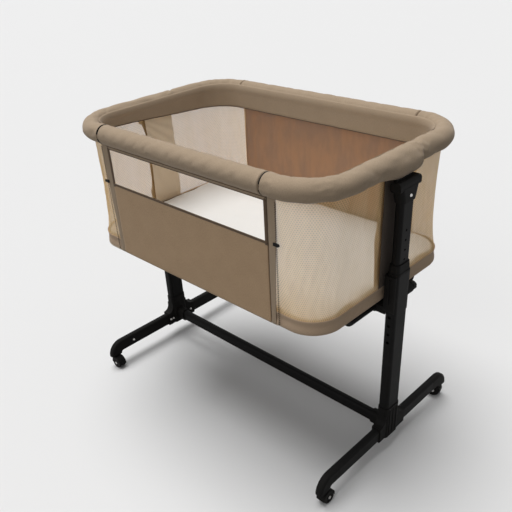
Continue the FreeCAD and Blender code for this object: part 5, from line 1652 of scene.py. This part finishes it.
# ------------------------------------------------------------------- drop side
@dataclass
class DropSide:
    """Front fabric that drops on its lower seam, and the zipped strips beside it.

    Args:
        plan: Places of the frame.
        wardrobe: Finishes.
        bow: How far the panel bows out.
        unevenness: How far it is out of true.
        panel_thick: Its thickness.
        edge_gap: How far the fabric ends inside the frame's panel.
        binding: Half of the width of the tape on the panel's top edge.
        binding_tape: Half of that tape's thickness.
        tape: Half of the thickness of the other tapes.
        tape_sides: Vertices round a tape.
        squareness: Power that rounds a tape's section: 1 an oval, nearly 0 a rectangle.
        window_hem: Half of the width of the hems beside the window.
        rail_hem: Half of the width of the hem under the rail.
        seam: Half of the width of that hem's dark seams.
        seam_drops: How far the two seams lie below the hem's top.
        seam_proud: How far they stand out from the hem's middle.
        strip: Width of the strip beside the drop side.
        strip_thick: Its thickness.
        strip_wave: How uneven it is.
        flap: Width of the flap behind its inner edge.
        flap_depth: How far the flap lies behind it.
        taper: How much narrower the strip is at its foot.
        teeth: Pitch of the zip's teeth.
        tooth: Half sizes of a tooth.
        tooth_offset: How far a row of teeth lies from the zip's middle.
        teeth_proud: How far the teeth's middle lies in front of the strip's.
        teeth_ends: How far from the strip's ends the teeth start and stop.
    """

    plan: CribPlan
    wardrobe: Wardrobe
    bow: float = 1.4 * MM
    unevenness: float = 0.9 * MM
    panel_thick: float = 1.2 * MM
    edge_gap: float = 1 * MM
    binding: float = 3.2 * MM
    binding_tape: float = 1.5 * MM
    tape: float = 0.9 * MM
    tape_sides: int = 12
    squareness: float = 0.6
    window_hem: float = 4.5 * MM
    rail_hem: float = 6 * MM
    seam: float = 0.9 * MM
    seam_drops: tuple[float, float] = (3 * MM, 10 * MM)
    seam_proud: float = 0.7 * MM
    strip: float = 25 * MM
    strip_thick: float = 0.8 * MM
    strip_wave: float = 0.3 * MM
    flap: float = 6 * MM
    flap_depth: float = 2.4 * MM
    taper: float = 11 * MM
    teeth: float = 2.6 * MM
    tooth: Point = (1.3 * MM, 0.6 * MM, 0.5 * MM)
    tooth_offset: float = 0.9 * MM
    teeth_proud: float = 0.9 * MM
    teeth_ends: float = 4 * MM

    def wave(self, x: Array, z: Array) -> Array:
        """How far the panel stands out from its flat place.

        Args:
            x: Places along it.
            z: Heights.

        Returns:
            Distances towards -Y.
        """
        low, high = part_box("gate_panel")
        share = np.clip((z - low.z) / (self.plan.panel_top - low.z), 0, 1)
        arch = (1 - (x / high.x) ** 2) * np.sin(TAU / 2 * np.clip(share * 0.9 + 0.05, 0, 1))
        uneven = self.unevenness * waves(101, x, z, (70 * MM, 260 * MM))
        return self.bow * arch + uneven * np.sin(TAU / 2 * share)

    def front_y(self) -> float:
        """Middle plane of the gate's fabric."""
        low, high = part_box("gate_panel")
        return (low.y + high.y) / 2

    def panel(self) -> None:
        """Build the solid panel."""
        low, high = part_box("gate_panel")
        x = np.linspace(low.x + self.edge_gap, high.x - self.edge_gap, 121)
        z = np.linspace(low.z, self.plan.panel_top, 45)
        xx, zz = np.meshgrid(x, z, indexing="ij")
        points = np.stack([xx, self.front_y() - self.wave(xx, zz), zz], -1)
        piece = sheet_of("front_panel", points, np.stack([xx, zz], -1))
        thicken(piece, self.panel_thick)
        self.wardrobe.dress(piece, PANEL_CLOTH, "panel_fabric", "gate", "gate_panel")

    def ribbon(self, name: str, line: Array, across: Point, half_width: float, finish: ClothFinish,
               slot: str, half_thick: float) -> None:
        """Build a flat tape along a line on the drop side.

        Args:
            name: Name of the piece.
            line: Points of its middle.
            across: Direction of its width.
            half_width: Half of its width.
            finish: Its cloth.
            slot: Its slot in the record.
            half_thick: Half of its thickness.
        """
        ahead = np.gradient(line, axis=0)
        ahead /= np.linalg.norm(ahead, axis=1)[:, None]
        wide = np.broadcast_to(across, line.shape)
        deep = np.cross(ahead, wide)
        angles = np.arange(self.tape_sides) / self.tape_sides * TAU
        a = np.sign(np.cos(angles)) * np.abs(np.cos(angles)) ** self.squareness * half_width
        b = np.sign(np.sin(angles)) * np.abs(np.sin(angles)) ** self.squareness * half_thick
        rings = line[:, None] + a[None, :, None] * wide[:, None] + b[None, :, None] * deep[:, None]
        run = running(np.linalg.norm(np.diff(line, axis=0), axis=1))
        place = np.stack(np.meshgrid(run, a, indexing="ij"), -1)
        faces = tube_faces(len(line), self.tape_sides)
        piece = add_mesh(name, rings.reshape(-1, 3), faces, place.reshape(-1, 2))
        self.wardrobe.dress(piece, finish, slot, "gate")

    def tapes(self) -> None:
        """Build the binding on the panel, the hems beside the window and the hem under the rail."""
        low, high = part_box("gate_panel")
        y = self.front_y()
        x = np.linspace(low.x + self.edge_gap, high.x - self.edge_gap, 101)
        top = self.plan.panel_top
        edge = np.stack([x, y - self.wave(x, np.full_like(x, top)), np.full_like(x, top - 2 * MM)], 1)
        self.ribbon("panel_binding", edge, UP, self.binding, BINDING_CLOTH, "panel_fabric", self.binding_tape)
        middle = high.x - self.window_hem
        z = np.linspace(top - 8 * MM, high.z - 1 * MM, 30)
        for side in Side:
            line = np.stack([np.full_like(z, middle * side.value), np.full_like(z, y), z], 1)
            self.ribbon(f"window_hem_{side.label}", line, SIDEWAYS, self.window_hem, BINDING_CLOTH,
                        "panel_fabric", self.tape)
        hem_drop = 4 * MM
        hem = np.stack([x, np.full_like(x, y), np.full_like(x, high.z - hem_drop)], 1)
        self.ribbon("rail_hem", hem, UP, self.rail_hem, RAIL_CLOTH, "rail_fabric", self.tape)
        for name, drop in zip(("rail_hem_seam", "rail_hem_edge"), self.seam_drops):
            seam = hem + np.array([0.0, -self.seam_proud, hem_drop - drop])
            self.ribbon(name, seam, UP, self.seam, BINDING_CLOTH, "rail_fabric", self.tape)

    def zips(self) -> None:
        """Build the strips beside the drop side and the rows of zip teeth on them."""
        low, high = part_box("front_stiles")
        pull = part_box("zip_pull_right")
        inner = high.x - self.strip
        teeth_x = pull[0].x + (high.x - pull[0].x) * 0.9
        y = (low.y + high.y) / 2
        z = np.linspace(low.z + 1 * MM, high.z, 64)
        flap_x = np.linspace(inner - self.flap, inner, 5)
        x = np.concatenate([flap_x, np.linspace(inner + 0.8 * MM, high.x - 0.4 * MM, 9)])
        xx, zz = np.meshgrid(x, z, indexing="ij")
        straight = 8 * MM  # the part of the strip beside the drop side that keeps its width
        kept = 1 - self.taper * (1 - smooth(low.z, high.z, zz)) / (self.strip - straight)
        xx = np.where(xx > inner + straight, inner + straight + (xx - inner - straight) * kept, xx)
        behind = self.flap_depth * (1 - smooth(inner - 0.6 * MM, inner + 1.2 * MM, xx))
        for side in Side:
            yy = y + self.strip_wave * waves(111, xx, zz, (40 * MM, 120 * MM)) + behind
            points = flipped(np.stack([xx, yy, zz], -1), side)
            piece = sheet_of(f"zip_strip_{side.label}", points, np.stack([xx, zz], -1))
            outward(piece, side)
            thicken(piece, self.strip_thick)
            replaced = "front_stiles" if side is Side.RIGHT else None
            self.wardrobe.dress(piece, FACING_CLOTH, "panel_fabric", "cot", replaced)
            span = (low.z + self.teeth_ends, high.z - self.teeth_ends)
            self.teeth_row(f"zip_teeth_{side.label}", teeth_x * side.value, y - self.teeth_proud, span)

    def teeth_row(self, name: str, x: float, y: float, span: tuple[float, float]) -> None:
        """Build a closed zip: two rows of small teeth.

        Args:
            name: Name of the piece.
            x: Middle of the zip.
            y: Depth of the teeth's middle.
            span: Heights of its ends.
        """
        corners = np.array([(-1, -1, -1), (1, -1, -1), (1, 1, -1), (-1, 1, -1),
                            (-1, -1, 1), (1, -1, 1), (1, 1, 1), (-1, 1, 1)], float)
        quads = [(0, 3, 2, 1), (4, 5, 6, 7), (0, 1, 5, 4), (1, 2, 6, 5), (2, 3, 7, 6), (3, 0, 4, 7)]
        points, faces = [], []
        for number in range(int((span[1] - span[0]) / self.teeth)):
            row = 1 if number % 2 else -1
            centre = np.array([x + row * self.tooth_offset, y, span[0] + number * self.teeth])
            start = len(points) * len(corners)
            points.append(centre + corners * self.tooth)
            faces += [tuple(start + k for k in quad) for quad in quads]
        grid = np.concatenate(points)
        piece = add_mesh(name, grid, faces, grid[:, [0, 2]])
        piece.data.polygons.foreach_set("use_smooth", [False] * len(piece.data.polygons))
        self.wardrobe.dress(piece, HARD["knob_black"], "knob_black", "cot")

    def build(self) -> None:
        """Build the drop side."""
        self.panel()
        self.tapes()
        self.zips()


# --------------------------------------------------------------------- hardware
@dataclass
class Hardware:
    """Stand, posts, brackets and casters: the frame's own solids, dressed.

    Args:
        wardrobe: Finishes.
    """

    wardrobe: Wardrobe

    def build(self) -> None:
        """Dress every hard node by its slot in the record."""
        for part in frame["record"]["subparts"]:
            finish = HARD.get(part["material_slot"])
            if finish is not None:
                self.wardrobe.cover(frame["nodes"][part["node"]], finish)


# ----------------------------------------------------------------------- studio
@dataclass(frozen=True)
class Sun:
    """Soft far light.

    Args:
        name: Name of the lamp.
        source: Direction that it comes from.
        strength: Its strength.
        angle: How wide it looks, in degrees.
    """

    name: str
    source: Point
    strength: float
    angle: float

    def light(self) -> None:
        """Add the lamp."""
        data = bpy.data.lights.new(self.name, "SUN")
        data.energy, data.angle = self.strength, math.radians(self.angle)
        lamp = bpy.data.objects.new(self.name, data)
        lamp.matrix_world = Vector(self.source).to_track_quat("Z", "Y").to_matrix().to_4x4()
        bpy.context.scene.collection.objects.link(lamp)


@dataclass
class Studio:
    """Floor, light and camera.

    Args:
        place: Camera's place.
        heading: Compass angle of its view, in degrees from +X.
        pitch: How far it looks down, in degrees.
        roll: How far it is turned about its view, in degrees.
        lens: Focal length for the sensor's width.
        sensor: Width of the sensor, in millimetres.
        shift: Shift of the lens.
        clip: Nearest and farthest distance that the camera sees.
        floor_half: Half of the floor's length and width.
        floor_tone: Colour of the floor.
        bounce_tone: Its colour in the light that it throws back on the crib.
        floor_roughness: Its roughness.
        sky: Strength of the sky's light on the crib.
        paper: Brightness of the background that the camera sees.
        suns: Lamps.
    """

    place: Point = (1.13187, -1.14501, 1.30311)
    heading: float = 136.22
    pitch: float = 32.153
    roll: float = 3.70
    lens: float = 44.23
    sensor: float = 36.0
    shift: tuple[float, float] = (0.00963, 0.0930)
    clip: tuple[float, float] = (0.05, 50.0)
    floor_half: float = 14.0
    floor_tone: Colour = (0.78, 0.78, 0.78)
    bounce_tone: Colour = (0.18, 0.18, 0.18)
    floor_roughness: float = 0.9
    sky: float = 0.23
    paper: float = 0.8
    suns: tuple[Sun, ...] = (Sun("key", (-0.26, 0.02, 1.0), 2.5, 42.0),
                             Sun("fill", (-0.10, -1.0, 0.5), 0.52, 60.0))

    def camera(self) -> None:
        """Set up the camera at the photograph's place."""
        turn, down = math.radians(self.heading), math.radians(self.pitch)
        level_part = math.cos(down)
        ahead = Vector((math.cos(turn) * level_part, math.sin(turn) * level_part, -math.sin(down)))
        level = ahead.to_track_quat("-Z", "Y").to_matrix()
        data = bpy.data.cameras.new("camera")
        data.lens, data.sensor_width = self.lens, self.sensor
        data.shift_x, data.shift_y = self.shift
        data.clip_start, data.clip_end = self.clip
        camera = bpy.data.objects.new("camera", data)
        turned = level @ Matrix.Rotation(-math.radians(self.roll), 3, "Z")
        camera.matrix_world = Matrix.Translation(self.place) @ turned.to_4x4()
        bpy.context.scene.collection.objects.link(camera)
        bpy.context.scene.camera = camera

    def floor(self) -> None:
        """Build the plain pale floor."""
        half = self.floor_half
        corners = [(-half, -half, 0), (half, -half, 0), (half, half, 0), (-half, half, 0)]
        mesh = bpy.data.meshes.new("floor")
        mesh.from_pydata(corners, [], [(0, 1, 2, 3)])
        piece = bpy.data.objects.new("floor", mesh)
        bpy.context.scene.collection.objects.link(piece)
        material, n, shader = start_material("floor")
        n.feed(shader.inputs["Base Color"], n.mix(self.seen(n), self.bounce_tone, self.floor_tone))
        shader.inputs["Roughness"].default_value = self.floor_roughness
        mesh.materials.append(material)

    def world(self) -> None:
        """Soft sky light, white where the camera sees it."""
        world = bpy.data.worlds.new("studio")
        bpy.context.scene.world = world
        world.use_nodes = True
        world.node_tree.nodes.clear()
        n = Nodes(world.node_tree)
        sky = n.add("ShaderNodeBackground", {"Color": (1.0, 1.0, 1.0), "Strength": self.sky})
        paper = n.add("ShaderNodeBackground", {"Color": (1.0, 1.0, 1.0), "Strength": self.paper})
        mixed = n.add("ShaderNodeMixShader", {0: self.seen(n), 1: sky.outputs[0], 2: paper.outputs[0]})
        n.add("ShaderNodeOutputWorld", {"Surface": mixed.outputs[0]})

    @staticmethod
    def seen(n: Nodes) -> bpy.types.NodeSocket:
        """Tell the rays by which the camera sees the studio from those that only light it.

        Args:
            n: Nodes of the tree that asks.

        Returns:
            1 for a ray that is straight, mirrored or through glass, else 0.
        """
        path = n.add("ShaderNodeLightPath")
        seen = n.math("MAXIMUM", path.outputs["Is Camera Ray"], path.outputs["Is Glossy Ray"])
        return n.math("MAXIMUM", seen, path.outputs["Is Transmission Ray"])

    def build(self) -> None:
        """Build the studio."""
        self.camera()
        self.floor()
        self.world()
        for sun in self.suns:
            sun.light()
        bpy.context.scene.view_settings.view_transform = "Standard"


def main() -> None:
    """Build the crib and its studio."""
    logging.basicConfig(level=logging.INFO, format="%(name)s: %(message)s")
    plan, wardrobe = CribPlan(), Wardrobe()
    Studio().build()
    sections = (Hardware(wardrobe), PaddedRail(plan, wardrobe), SheerWalls(plan, wardrobe),
                CotBase(plan, wardrobe), DropSide(plan, wardrobe))
    for section in sections:
        section.build()
        LOG.info("%s done", type(section).__name__)


if __name__ == "__main__":
    main()
